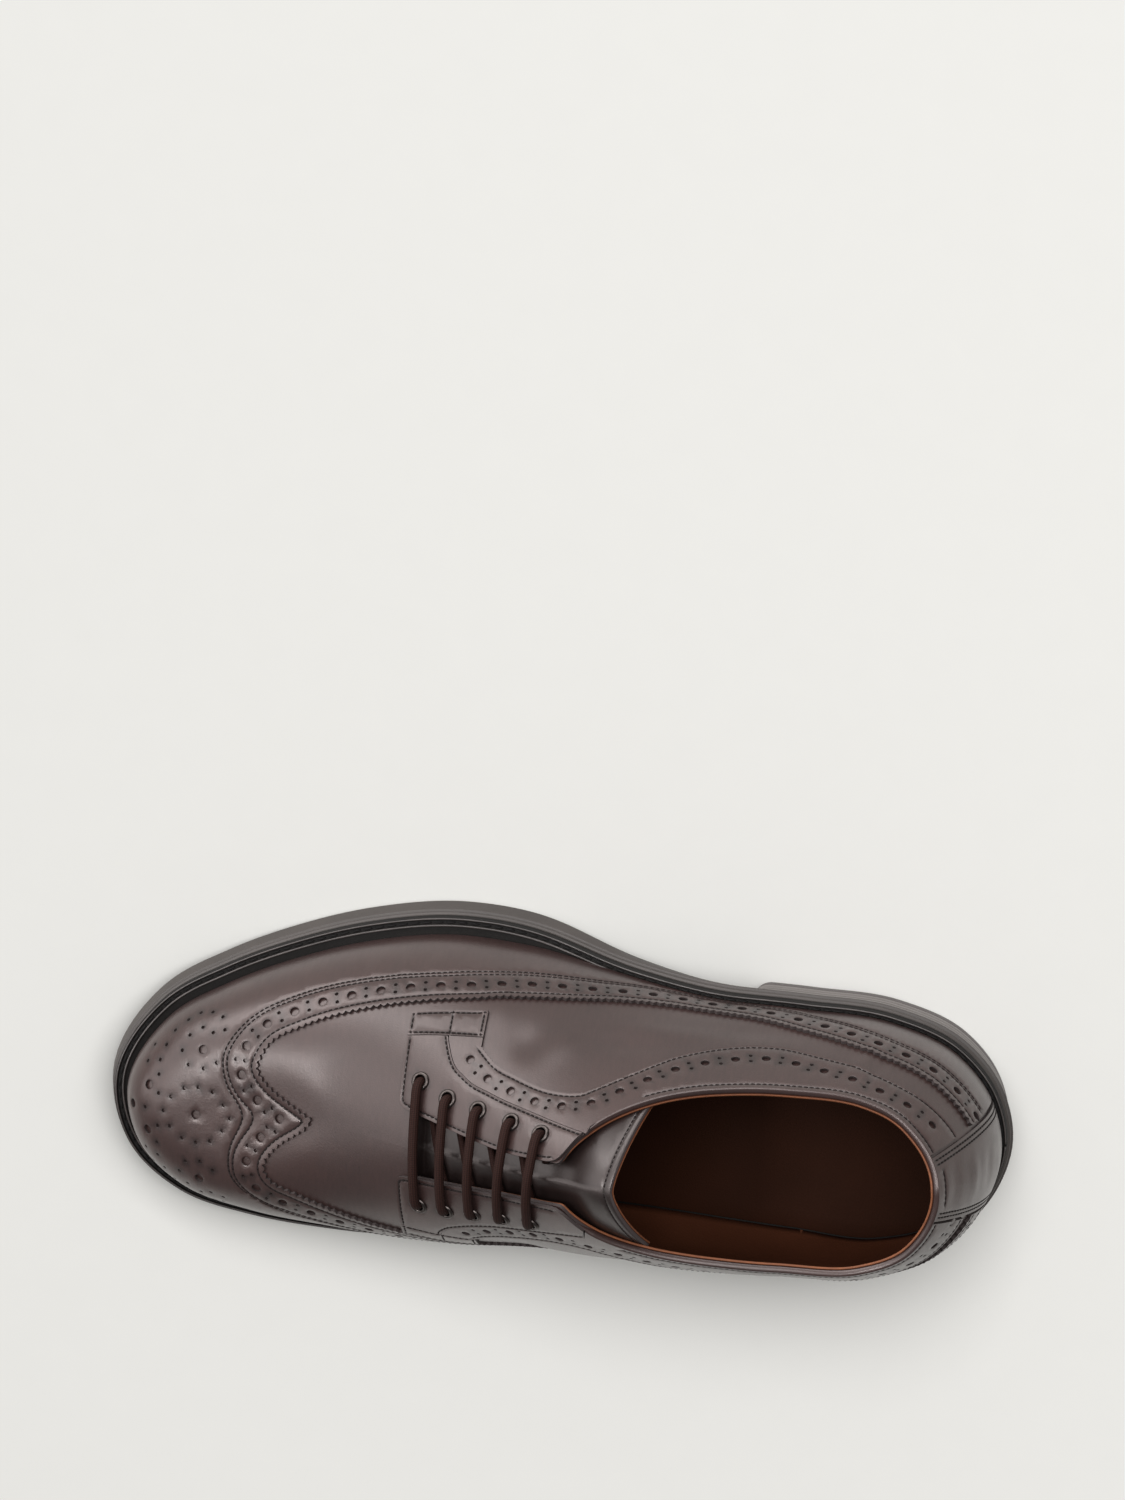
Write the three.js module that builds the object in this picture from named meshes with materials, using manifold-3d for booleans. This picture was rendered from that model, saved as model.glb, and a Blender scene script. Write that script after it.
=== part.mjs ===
// Wingtip lace-up shoe: the right shoe of a pair of longwing derbies, empty, standing on its sole.
// Millimetres, +Z up, toe towards +X, inner side of the foot towards +Y.
// While it is modelled, x = 0 is the back of the last at its feather edge; the group is moved at the end
// so that its origin is the middle of its box on the floor.

import * as THREE from 'three';
import { mergeVertices } from 'three/addons/utils/BufferGeometryUtils.js';
import Module from 'manifold-3d';

// Driving sizes of the last
const LAST_LENGTH = 286;
const BALL_WIDTH = 93;
const INSTEP_HEIGHT = 75;
const TOE_SPRING = 11.2;
const HEEL_HEIGHT = 21;

// Driving sizes of the bottom
const FOREPART_SOLE = 10;
const WAIST_SOLE = 7;
const TOP_LIFT = 6;
const WELT_THICKNESS = 3.5;
const INSOLE_THICKNESS = 4;
const FOREPART_REACH = 9.7;
const WAIST_REACH = 6;
const SOLE_FLARE = 2;
const HEEL_TAPER = 1.8;
const HEEL_CORNER = 6;

// Driving sizes of the leathers, lace and eyelets
const WALL = 1.9;
const OVERLAY = 1;
const TONGUE_THICKNESS = 2;
const LACE_DIAMETER = 3.2;
const EYELET_OUTSIDE = 6.6;
const EYELET_BARREL = 4.9;
const EYELET_BORE = 3.8;
const EYELET_FLANGE = 0.7;
const GAP = 0.3;
const LEATHER_GAP = 0.45;

// Where the sole touches the floor, and where the heel and the fans of the last lie, from its back
const TREAD_START = 0.57 * LAST_LENGTH;
const TREAD_END = 0.763 * LAST_LENGTH;
const HEEL_BREAST = 0.294 * LAST_LENGTH;
const REAR_FAN = 0.157 * LAST_LENGTH;
const FRONT_FAN = 0.748 * LAST_LENGTH;
const FAN_BLEND = 0.07 * LAST_LENGTH;

// How the sole's thickness, reach and spring change along the shoe
const WAIST_END = 0.323 * LAST_LENGTH;
const REACH_START = 0.42 * LAST_LENGTH;
const REACH_END = 0.6 * LAST_LENGTH;
const SPRING_POWER = 1.8;

// How the last's surface turns at its foot and at its ridge, as shares of the way up a rib
const BELLY_RISE = 0.33;
const FOOT_BLEND = 0.15;
const LEVEL_BLEND = 0.2;
const CREST_BLEND = 0.85;
const CREST_LIMIT = 0.985;

// Feather edge of the last: share of its length, share of its ball width
const FEATHER = [
  { at: 'heel back', length: 0.0, width: 0.011 },
  { at: 'outer heel curve', length: 0.014, width: -0.145 },
  { at: 'outer heel corner', length: 0.053, width: -0.278 },
  { at: 'outer heel seat', length: 0.126, width: -0.365 },
  { at: 'outer heel front', length: 0.226, width: -0.387 },
  { at: 'outer waist', length: 0.342, width: -0.4 },
  { at: 'outer waist front', length: 0.449, width: -0.441 },
  { at: 'outer joint back', length: 0.558, width: -0.495 },
  { at: 'outer joint', length: 0.65, width: -0.51 },
  { at: 'outer joint front', length: 0.736, width: -0.467 },
  { at: 'little toe', length: 0.818, width: -0.389 },
  { at: 'outer toe', length: 0.896, width: -0.286 },
  { at: 'outer toe corner', length: 0.958, width: -0.169 },
  { at: 'toe tip', length: 1.0, width: 0.067 },
  { at: 'inner toe corner', length: 0.984, width: 0.252 },
  { at: 'inner toe', length: 0.935, width: 0.387 },
  { at: 'great toe', length: 0.862, width: 0.455 },
  { at: 'inner joint front', length: 0.783, width: 0.485 },
  { at: 'inner joint', length: 0.713, width: 0.489 },
  { at: 'inner joint back', length: 0.634, width: 0.454 },
  { at: 'inner waist front', length: 0.547, width: 0.4 },
  { at: 'inner waist', length: 0.45, width: 0.37 },
  { at: 'inner waist back', length: 0.343, width: 0.361 },
  { at: 'inner heel front', length: 0.226, width: 0.381 },
  { at: 'inner heel seat', length: 0.126, width: 0.394 },
  { at: 'inner heel corner', length: 0.053, width: 0.317 },
  { at: 'inner heel curve', length: 0.014, width: 0.174 },
];

// Ridge of the closed last: height as a share of the instep, side shift as a share of the ball width
const RIDGE = [
  { length: 0.05, height: 1.573, side: 0.043 },
  { length: 0.28, height: 1.573, side: 0.054 },
  { length: 0.364, height: 1.547, side: 0.07 },
  { length: 0.42, height: 1.48, side: 0.086 },
  { length: 0.483, height: 1.347, side: 0.097 },
  { length: 0.552, height: 1.173, side: 0.102 },
  { length: 0.629, height: 1.0, side: 0.097 },
  { length: 0.699, height: 0.86, side: 0.086 },
  { length: 0.769, height: 0.747, side: 0.07 },
  { length: 0.839, height: 0.68, side: 0.065 },
  { length: 0.916, height: 0.627, side: 0.065 },
  { length: 1.0, height: 0.573, side: 0.065 },
];

// Ribs of the last from toe (0) to heel back (1), a table for each side: belly is a share of the ball width,
// lean and roof are shares of the rib's reach, rise is a share of its height
const OUTER_RIBS = [
  { along: 0.0, belly: 0.022, lean: 0.02, rise: 0.86, roof: 0.34 },
  { along: 0.1, belly: 0.022, lean: 0.03, rise: 0.86, roof: 0.36 },
  { along: 0.2, belly: 0.027, lean: 0.05, rise: 0.86, roof: 0.44 },
  { along: 0.3, belly: 0.022, lean: 0.09, rise: 0.84, roof: 0.5 },
  { along: 0.42, belly: 0.011, lean: 0.2, rise: 0.7, roof: 0.58 },
  { along: 0.55, belly: 0.005, lean: 0.33, rise: 0.54, roof: 0.62 },
  { along: 0.68, belly: 0.005, lean: 0.3, rise: 0.5, roof: 0.58 },
  { along: 0.8, belly: 0.022, lean: 0.28, rise: 0.5, roof: 0.56 },
  { along: 0.9, belly: 0.043, lean: 0.22, rise: 0.52, roof: 0.5 },
  { along: 1.0, belly: 0.054, lean: 0.14, rise: 0.56, roof: 0.36 },
];
const INNER_RIBS = [
  { along: 0.0, belly: 0.022, lean: 0.02, rise: 0.86, roof: 0.34 },
  { along: 0.1, belly: 0.022, lean: 0.03, rise: 0.86, roof: 0.36 },
  { along: 0.2, belly: 0.022, lean: 0.03, rise: 0.86, roof: 0.44 },
  { along: 0.3, belly: 0.032, lean: 0.0, rise: 0.84, roof: 0.48 },
  { along: 0.42, belly: 0.14, lean: -0.09, rise: 0.76, roof: 0.52 },
  { along: 0.55, belly: 0.204, lean: -0.16, rise: 0.62, roof: 0.54 },
  { along: 0.68, belly: 0.183, lean: -0.12, rise: 0.56, roof: 0.48 },
  { along: 0.8, belly: 0.108, lean: -0.02, rise: 0.54, roof: 0.44 },
  { along: 0.9, belly: 0.065, lean: 0.08, rise: 0.54, roof: 0.42 },
  { along: 1.0, belly: 0.054, lean: 0.14, rise: 0.56, roof: 0.36 },
];

// Height of the collar edge, from where it leaves the facings to the heel back, as a share of the instep
const COLLAR = [
  { along: 0.5, height: 1.44 },
  { along: 0.54, height: 1.347 },
  { along: 0.58, height: 1.267 },
  { along: 0.64, height: 1.187 },
  { along: 0.7, height: 1.147 },
  { along: 0.78, height: 1.14 },
  { along: 0.86, height: 1.18 },
  { along: 0.93, height: 1.24 },
  { along: 1.0, height: 1.293 },
];

// Cut lines of the leathers: along is the share from toe to heel back, outer and inner are shares of the
// way up the rib on each side of the foot
const THROAT_START = 0.357;
const THROAT_EDGE = [
  { along: 0.357, outer: 0.876, inner: 0.868 },
  { along: 0.43, outer: 0.9, inner: 0.874 },
  { along: 0.5, outer: 0.915, inner: 0.878 },
  { along: 0.6, outer: 0.93, inner: 0.885 },
];
const WING_EDGE = [
  { along: -0.015, outer: 0.955, inner: 0.955 },
  { along: 0.03, outer: 0.945, inner: 0.945 },
  { along: 0.061, outer: 0.895, inner: 0.93 },
  { along: 0.082, outer: 0.82, inner: 0.9 },
  { along: 0.103, outer: 0.752, inner: 0.84 },
  { along: 0.134, outer: 0.69, inner: 0.748 },
  { along: 0.17, outer: 0.635, inner: 0.672 },
  { along: 0.218, outer: 0.604, inner: 0.63 },
  { along: 0.287, outer: 0.555, inner: 0.55 },
  { along: 0.395, outer: 0.44, inner: 0.405 },
  { along: 0.495, outer: 0.297, inner: 0.27 },
  { along: 0.561, outer: 0.193, inner: 0.2 },
  { along: 0.624, outer: 0.125, inner: 0.13 },
  { along: 0.689, outer: 0.12, inner: 0.125 },
  { along: 0.754, outer: 0.188, inner: 0.19 },
  { along: 0.82, outer: 0.278, inner: 0.27 },
  { along: 0.871, outer: 0.315, inner: 0.31 },
  { along: 0.941, outer: 0.338, inner: 0.335 },
  { along: 1.0, outer: 0.33, inner: 0.33 },
];
const BAND_EDGE = [
  { along: 0.431, outer: 0.6, inner: 0.5 },
  { along: 0.447, outer: 0.64, inner: 0.53 },
  { along: 0.475, outer: 0.661, inner: 0.56 },
  { along: 0.519, outer: 0.665, inner: 0.585 },
  { along: 0.545, outer: 0.64, inner: 0.575 },
  { along: 0.58, outer: 0.552, inner: 0.52 },
  { along: 0.626, outer: 0.427, inner: 0.42 },
  { along: 0.667, outer: 0.355, inner: 0.35 },
  { along: 0.73, outer: 0.318, inner: 0.31 },
  { along: 0.792, outer: 0.365, inner: 0.34 },
  { along: 0.87, outer: 0.43, inner: 0.4 },
  { along: 0.96, outer: 0.45, inner: 0.42 },
];
const FACING_EDGE = [
  { along: 0.396, outer: 0.593, inner: 0.53 },
  { along: 0.403, outer: 0.665, inner: 0.575 },
  { along: 0.42, outer: 0.718, inner: 0.61 },
  { along: 0.45, outer: 0.745, inner: 0.638 },
  { along: 0.497, outer: 0.763, inner: 0.66 },
  { along: 0.56, outer: 0.79, inner: 0.69 },
];
const TAB = [
  { along: 0.357, outerLow: 0.553, outerHigh: 0.622, innerLow: 0.49, innerHigh: 0.56 },
  { along: 0.431, outerLow: 0.472, outerHigh: 0.556, innerLow: 0.4, innerHigh: 0.485 },
];
const FACING_BACK = 0.396;
const TAB_BACK = 0.431;
const STAY_EDGE = 0.957;
const TONGUE = [
  { along: 0.345, outer: 0.83, inner: 0.82 },
  { along: 0.45, outer: 0.78, inner: 0.76 },
  { along: 0.54, outer: 0.68, inner: 0.66 },
  { along: 0.6, outer: 0.6, inner: 0.58 },
];

// Eyelets, and the points that each lace bar passes over between them
const EYELETS = [
  { pair: 1, outerAlong: 0.376, outerUp: 0.772, innerAlong: 0.377, innerUp: 0.73 },
  { pair: 2, outerAlong: 0.407, outerUp: 0.798, innerAlong: 0.406, innerUp: 0.722 },
  { pair: 3, outerAlong: 0.441, outerUp: 0.81, innerAlong: 0.436, innerUp: 0.724 },
  { pair: 4, outerAlong: 0.476, outerUp: 0.82, innerAlong: 0.468, innerUp: 0.73 },
  { pair: 5, outerAlong: 0.509, outerUp: 0.828, innerAlong: 0.5, innerUp: 0.732 },
];

const COLOUR = {
  upper: 0x4a3d3d,
  overlay: 0x534545,
  lining: 0x8a4a24,
  outsole: 0x6b605e,
  welt: 0x1d1a19,
  heel: 0x5d5250,
  topLift: 0x2b2726,
  lace: 0x3a2522,
  eyelet: 0x4b4a4a,
};

// Step used for slopes, and how close points are that count as one
const STEP = 0.001;
const MERGE = 0.0005;
const CORNER_MERGE = 0.005;

function smooth(value, from, to) {
  const t = Math.min(1, Math.max(0, (value - from) / (to - from)));
  return t * t * (3 - 2 * t);
}

function spread(from, to, count) {
  return Array.from({ length: count + 1 }, (_, i) => from + (to - from) * (i / count));
}

// Smooth curve through a table's column, with the table's first column as its parameter
function curve(rows, parameter, column, at) {
  const last = rows.length - 1;
  let i = 0;
  while (i < last - 1 && rows[i + 1][parameter] <= at) i++;
  const slope = (k) => {
    const run = rows[k + 1][parameter] - rows[k][parameter];
    return (rows[k + 1][column] - rows[k][column]) / run;
  };
  const tangent = (k) => {
    if (k === 0) return slope(0);
    if (k === last) return slope(last - 1);
    const before = rows[k][parameter] - rows[k - 1][parameter];
    const after = rows[k + 1][parameter] - rows[k][parameter];
    return (slope(k - 1) * after + slope(k) * before) / (before + after);
  };
  const run = rows[i + 1][parameter] - rows[i][parameter];
  const u = Math.min(1, Math.max(0, (at - rows[i][parameter]) / run));
  const start = (2 * u ** 3 - 3 * u ** 2 + 1) * rows[i][column];
  const leave = (u ** 3 - 2 * u ** 2 + u) * run * tangent(i);
  const end = (3 * u ** 2 - 2 * u ** 3) * rows[i + 1][column];
  const arrive = (u ** 3 - u ** 2) * run * tangent(i + 1);
  return start + leave + end + arrive;
}

// Feather edge as a closed smooth curve. Its parameter runs from -1 at the heel back along the outer
// side to 0 at the toe tip, and along the inner side to 1 at the heel back.
const featherKnots = [];
{
  let girth = 0;
  const count = FEATHER.length;
  for (let i = -1; i <= count + 1; i++) {
    const row = FEATHER[(i + count) % count];
    const point = { x: row.length * LAST_LENGTH, y: row.width * BALL_WIDTH };
    const before = featherKnots[featherKnots.length - 1];
    if (before) girth += Math.hypot(point.x - before.x, point.y - before.y);
    featherKnots.push({ knot: girth, ...point });
  }
}
const HEEL_KNOT = featherKnots[1].knot;
const TOE_KNOT = featherKnots[1 + FEATHER.findIndex((row) => row.at === 'toe tip')].knot;
const END_KNOT = featherKnots[featherKnots.length - 2].knot;

function featherPoint(s) {
  const wrapped = s > 1 ? s - 2 : s < -1 ? s + 2 : s;
  const outerSide = HEEL_KNOT + (TOE_KNOT - HEEL_KNOT) * (1 + wrapped);
  const innerSide = TOE_KNOT + (END_KNOT - TOE_KNOT) * wrapped;
  const knot = wrapped < 0 ? outerSide : innerSide;
  return { x: curve(featherKnots, 'knot', 'x', knot), y: curve(featherKnots, 'knot', 'y', knot) };
}

function edgePoint(s, out) {
  const here = featherPoint(s);
  const ahead = featherPoint(s + STEP);
  const behind = featherPoint(s - STEP);
  const run = Math.hypot(ahead.x - behind.x, ahead.y - behind.y);
  const nx = (ahead.y - behind.y) / run;
  const ny = -(ahead.x - behind.x) / run;
  return { x: here.x + nx * out, y: here.y + ny * out };
}

// Sole: its underside, thickness and reach beyond the feather edge, along the shoe
const SOLE_TIP = LAST_LENGTH + FOREPART_REACH;
function underside(x) {
  const spring = Math.max(0, (x - TREAD_END) / (SOLE_TIP - TREAD_END));
  return TOE_SPRING * spring ** SPRING_POWER + HEEL_HEIGHT * smooth(-x, -TREAD_START, -HEEL_BREAST);
}
function soleThickness(x) {
  return WAIST_SOLE + (FOREPART_SOLE - WAIST_SOLE) * smooth(x, WAIST_END, TREAD_START);
}
function soleReach(x) {
  return WAIST_REACH + (FOREPART_REACH - WAIST_REACH) * smooth(x, REACH_START, REACH_END);
}
function featherHeight(x) {
  return underside(x) + soleThickness(x) + WELT_THICKNESS + GAP * 2;
}

// The last: a rib rises from each point of the feather edge to the ridge
function spineX(s) {
  const along = Math.abs(s);
  const middle = (featherPoint(-along).x + featherPoint(along).x) / 2;
  const cap = (x, limit) => {
    if (x >= limit + FAN_BLEND) return limit;
    if (x <= limit - FAN_BLEND) return x;
    return x - (x - limit + FAN_BLEND) ** 2 / (4 * FAN_BLEND);
  };
  return -cap(-cap(middle, FRONT_FAN), -REAR_FAN);
}
function ridgeHeight(x) {
  return curve(RIDGE, 'length', 'height', x / LAST_LENGTH) * INSTEP_HEIGHT;
}
function ridgeSlope(x) {
  return (ridgeHeight(x + 1) - ridgeHeight(x - 1)) / 2;
}

function lastPoint(s, up) {
  const wrapped = s > 1 ? s - 2 : s < -1 ? s + 2 : s;
  const along = Math.abs(wrapped);
  const foot = featherPoint(wrapped);
  const topX = spineX(wrapped);
  const topY = curve(RIDGE, 'length', 'side', topX / LAST_LENGTH) * BALL_WIDTH;
  const reach = Math.hypot(topX - foot.x, topY - foot.y);
  const ex = (topX - foot.x) / reach;
  const ey = (topY - foot.y) / reach;
  const low = featherHeight(foot.x);
  const height = ridgeHeight(topX) - low;
  const ribs = wrapped < 0 ? OUTER_RIBS : INNER_RIBS;
  const rib = (column) => curve(ribs, 'along', column, along);
  const slopeDrop = ridgeSlope(topX) * ex * (1 - rib('roof')) * reach;
  const inward = [0, -rib('belly') * BALL_WIDTH, rib('lean') * reach, rib('roof') * reach, reach];
  const upward = [0, BELLY_RISE * height, rib('rise') * height, height - slopeDrop, height];
  const down = 1 - up;
  const weights = [down ** 4, 4 * down ** 3 * up, 6 * down ** 2 * up ** 2, 4 * down * up ** 3, up ** 4];
  const inwards = weights.reduce((sum, weight, i) => sum + weight * inward[i], 0);
  const upwards = weights.reduce((sum, weight, i) => sum + weight * upward[i], 0);
  return new THREE.Vector3(foot.x + ex * inwards, foot.y + ey * inwards, low + upwards);
}

function lastNormal(s, up) {
  const level = Math.min(up, CREST_LIMIT);
  const alongFoot = lastPoint(s + STEP, level).sub(lastPoint(s - STEP, level));
  const alongRib = lastPoint(s, Math.min(level + STEP, 1)).sub(lastPoint(s, Math.max(level - STEP, 0)));
  const normal = alongFoot.cross(alongRib).normalize();
  const crest = new THREE.Vector3(-ridgeSlope(spineX(s)), 0, 1).normalize();
  normal.z *= smooth(up, 0, FOOT_BLEND);
  return normal.normalize().lerp(crest, smooth(up, CREST_BLEND, 1)).normalize();
}

function lasted(s, up, out) {
  const base = lastPoint(s, up);
  const point = base.clone().addScaledVector(lastNormal(s, up), out);
  point.z += (featherHeight(point.x) - featherHeight(base.x)) * (1 - smooth(up, 0, LEVEL_BLEND));
  return point;
}

// Share of the way up a rib at which the last reaches a height
function levelAt(s, height) {
  let low = 0;
  let high = 1;
  for (let i = 0; i < 24; i++) {
    const middle = (low + high) / 2;
    if (lastPoint(s, middle).z < height) low = middle;
    else high = middle;
  }
  return (low + high) / 2;
}

function cutLine(rows, s, suffix = '') {
  const wrapped = s > 1 ? s - 2 : s < -1 ? s + 2 : s;
  return curve(rows, 'along', (wrapped < 0 ? 'outer' : 'inner') + suffix, Math.abs(wrapped));
}
function openEdge(s) {
  const wrapped = s > 1 ? s - 2 : s < -1 ? s + 2 : s;
  const along = Math.abs(wrapped);
  const throat = cutLine(THROAT_EDGE, wrapped);
  if (along < COLLAR[0].along) return throat;
  const height = curve(COLLAR, 'along', 'height', along) * INSTEP_HEIGHT;
  return Math.min(throat, levelAt(wrapped, height));
}

// Closed body from polygons over shared points; points that coincide are one
function solid(polygons) {
  const points = [];
  const known = new Map();
  const index = [];
  const number = (point) => {
    const key = [point.x, point.y, point.z].map((value) => Math.round(value / MERGE)).join(' ');
    if (!known.has(key)) {
      known.set(key, points.length);
      points.push(point);
    }
    return known.get(key);
  };
  for (const polygon of polygons) {
    const corners = polygon.map(number);
    for (let i = 1; i < corners.length - 1; i++) {
      const triangle = [corners[0], corners[i], corners[i + 1]];
      if (new Set(triangle).size === 3) index.push(...triangle);
    }
  }
  const geometry = new THREE.BufferGeometry();
  geometry.setAttribute('position', new THREE.Float32BufferAttribute(points.flatMap((p) => [p.x, p.y, p.z]), 3));
  geometry.setIndex(index);
  return geometry;
}

// Rows of the upper up a rib: even ones to the open edge, then some from there to the ridge
const UPPER_ROWS = 10;
const VAMP_ROWS = 3;
const ALL_ROWS = UPPER_ROWS + VAMP_ROWS;
const levelsKnown = new Map();
function rowLevels(s) {
  if (!levelsKnown.has(s)) {
    const open = openEdge(s);
    const below = spread(0, open, UPPER_ROWS);
    const above = spread(open, 1, VAMP_ROWS).slice(1);
    levelsKnown.set(s, [...below, ...above]);
  }
  return levelsKnown.get(s);
}

// Point of a cut edge on the straight line between two rows, so that leathers lie on each other facet by facet
function seated(s, up, out) {
  const levels = rowLevels(s);
  const row = Math.min(ALL_ROWS - 1, Math.max(0, levels.findIndex((level) => level > up + STEP / 10) - 1));
  const [low, high] = [levels[row], levels[row + 1]];
  const share = Math.min(1, Math.max(0, (up - low) / (high - low)));
  if (up >= 1) return lasted(s, 1, out);
  return lasted(s, low, out).lerp(lasted(s, high, out), share);
}

// Leather piece: a patch of the last's chart with an inner and an outer face, closed along its own edge
function leather(patches, inner, outer) {
  const key = (corner) => {
    const point = lastPoint(corner[0], corner[1]);
    return [point.x, point.y, point.z].map((value) => Math.round(value / CORNER_MERGE)).join(' ');
  };
  const name = new Map();
  const known = (corner) => {
    const id = `${corner[0].toFixed(6)} ${corner[1].toFixed(6)}`;
    if (!name.has(id)) {
      name.set(id, {
        key: key(corner),
        low: seated(corner[0], corner[1], inner),
        high: seated(corner[0], corner[1], outer),
      });
    }
    return name.get(id);
  };
  const shared = new Map();
  const corners = patches.map((patch) => patch.map((corner) => {
    const made = known(corner);
    if (!shared.has(made.key)) shared.set(made.key, made);
    return shared.get(made.key);
  }));
  const polygons = [];
  const edges = new Map();
  for (const patch of corners) {
    const ring = patch.filter((corner, i) => corner !== patch[(i + 1) % patch.length]);
    if (ring.length < 3) continue;
    polygons.push(ring.map((corner) => corner.high));
    polygons.push(ring.map((corner) => corner.low).reverse());
    ring.forEach((corner, i) => {
      const next = ring[(i + 1) % ring.length];
      const back = `${next.key}|${corner.key}`;
      if (edges.has(back)) edges.delete(back);
      else edges.set(`${corner.key}|${next.key}`, [corner, next]);
    });
  }
  for (const [corner, next] of edges.values()) polygons.push([corner.low, next.low, next.high, corner.high]);
  return solid(polygons);
}

// Leather cut from the upper's own rows: every row is held between a low and a high cut line
function cut(stations, lowLine, highLine) {
  const lines = stations.map((s) => {
    const [low, high] = [lowLine(s), highLine(s)];
    return rowLevels(s).map((level) => [s, Math.min(high, Math.max(low, level))]);
  });
  const patches = [];
  for (let i = 0; i < lines.length - 1; i++) {
    for (let row = 0; row < ALL_ROWS; row++) {
      patches.push([lines[i][row], lines[i + 1][row], lines[i + 1][row + 1], lines[i][row + 1]]);
    }
  }
  return patches;
}

// Stations along one side of the foot, closer together round the toe and the heel
const SIDE_STATIONS = 28;
const CROWDING = 0.3;
function sideStations(count) {
  return spread(0, 1, count).map((t) => t - (CROWDING * Math.sin(2 * Math.PI * t)) / (2 * Math.PI));
}
function bothSides(stations) {
  return [...stations.slice(1).reverse().map((a) => -a), ...stations];
}

// Bottom piece: a stack of rings round the feather edge, closed below and above by rungs from the outer
// to the inner side. Each ring gives how far out and how high it lies at a point of the edge.
function bottomPiece(rings, sides) {
  const place = (ring, s) => {
    const point = edgePoint(s, ring.out(featherPoint(s).x, s));
    return new THREE.Vector3(point.x, point.y, ring.height(point.x));
  };
  const polygons = [];
  const made = rings.map((ring) => sides.map((a) => ({ outer: place(ring, -a), inner: place(ring, a) })));
  const count = sides.length - 1;
  for (let k = 0; k < rings.length - 1; k++) {
    const [low, high] = [made[k], made[k + 1]];
    for (let i = 0; i < count; i++) {
      polygons.push([low[i + 1].outer, low[i].outer, high[i].outer, high[i + 1].outer]);
      polygons.push([low[i].inner, low[i + 1].inner, high[i + 1].inner, high[i].inner]);
    }
    if (sides[0] > 0) polygons.push([low[0].outer, low[0].inner, high[0].inner, high[0].outer]);
  }
  const [bottom, top] = [made[0], made[rings.length - 1]];
  for (let i = 0; i < count; i++) {
    polygons.push([bottom[i].inner, bottom[i].outer, bottom[i + 1].outer, bottom[i + 1].inner]);
    polygons.push([top[i].outer, top[i].inner, top[i + 1].inner, top[i + 1].outer]);
  }
  return solid(polygons);
}

// Ring that runs all the way round the feather edge
function bottomRing(profile, stations) {
  const place = (corner, s) => {
    const point = edgePoint(s, corner.out(featherPoint(s).x));
    return new THREE.Vector3(point.x, point.y, corner.height(point.x));
  };
  const made = stations.map((s) => profile.map((corner) => place(corner, s)));
  const polygons = [];
  for (let i = 0; i < made.length - 1; i++) {
    for (let k = 0; k < profile.length; k++) {
      const next = (k + 1) % profile.length;
      polygons.push([made[i][k], made[i][next], made[i + 1][next], made[i + 1][k]]);
    }
  }
  return solid(polygons);
}

// Joining and cutting
const wasm = await Module();
wasm.setup();
function toManifold(geometry) {
  const bare = geometry.clone();
  bare.deleteAttribute('normal');
  bare.deleteAttribute('uv');
  const merged = mergeVertices(bare, 0.0001);
  const mesh = new wasm.Mesh({
    numProp: 3,
    vertProperties: new Float32Array(merged.attributes.position.array),
    triVerts: new Uint32Array(merged.index.array),
  });
  return new wasm.Manifold(mesh);
}
function fromManifold(body) {
  const mesh = body.getMesh();
  const geometry = new THREE.BufferGeometry();
  geometry.setAttribute('position', new THREE.BufferAttribute(mesh.vertProperties, 3));
  geometry.setIndex(new THREE.BufferAttribute(mesh.triVerts, 1));
  return geometry;
}
function punched(geometry, punches) {
  return fromManifold(punches.reduce((body, punch) => body.subtract(toManifold(punch)), toManifold(geometry)));
}

const shoe = new THREE.Group();
function add(name, geometry, color, roughness, metalness = 0) {
  const mesh = new THREE.Mesh(geometry, new THREE.MeshStandardMaterial({ color, roughness, metalness }));
  mesh.name = name;
  shoe.add(mesh);
  return mesh;
}

// Outsole: a bevelled lower edge, a flared side, a step and a thin rib below the welt
const sides = sideStations(SIDE_STATIONS);
const soleTop = (x) => underside(x) + soleThickness(x);
const SOLE_BEVEL = 1.2;
const SOLE_STEP = 0.7;
const SOLE_RIB = 1.6;
const flare = (x) => SOLE_FLARE * smooth(x, HEEL_BREAST, TREAD_START);
add('outsole', bottomPiece([
  { out: (x) => soleReach(x) + flare(x) - SOLE_BEVEL, height: underside },
  { out: (x) => soleReach(x) + flare(x), height: (x) => underside(x) + SOLE_BEVEL },
  { out: (x) => soleReach(x) + SOLE_STEP, height: (x) => soleTop(x) - SOLE_RIB - SOLE_STEP },
  { out: (x) => soleReach(x) - SOLE_STEP, height: (x) => soleTop(x) - SOLE_RIB },
  { out: (x) => soleReach(x), height: (x) => soleTop(x) - SOLE_RIB / 2 },
  { out: (x) => soleReach(x) - SOLE_STEP, height: soleTop },
], sides), COLOUR.outsole, 0.8);

// Heel: a block of stacked lifts with a groove between each two, and the top lift that meets the floor
const breastShare = sides.reduce((best, a) => {
  const off = (share) => Math.abs(featherPoint(-share).x - HEEL_BREAST);
  return off(a) < off(best) ? a : best;
});
const HEEL_STATIONS = 16;
const heelSides = spread(breastShare, 1, HEEL_STATIONS);
function heelOut(x, lower) {
  const toBreast = Math.max(0, HEEL_CORNER - (HEEL_BREAST - x));
  const round = HEEL_CORNER - Math.sqrt(Math.max(0, HEEL_CORNER ** 2 - toBreast ** 2));
  return WAIST_REACH - SOLE_STEP - HEEL_TAPER * lower - round;
}
function heelRing(height, pinch = 0) {
  const lower = 1 - height / HEEL_HEIGHT;
  return { out: (x) => heelOut(x, lower) - pinch, height: () => height };
}
const LIFT_GROOVE = 0.5;
const BLOCK_LIFTS = 2;
const blockLow = TOP_LIFT + GAP;
const blockHigh = HEEL_HEIGHT - GAP;
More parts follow.
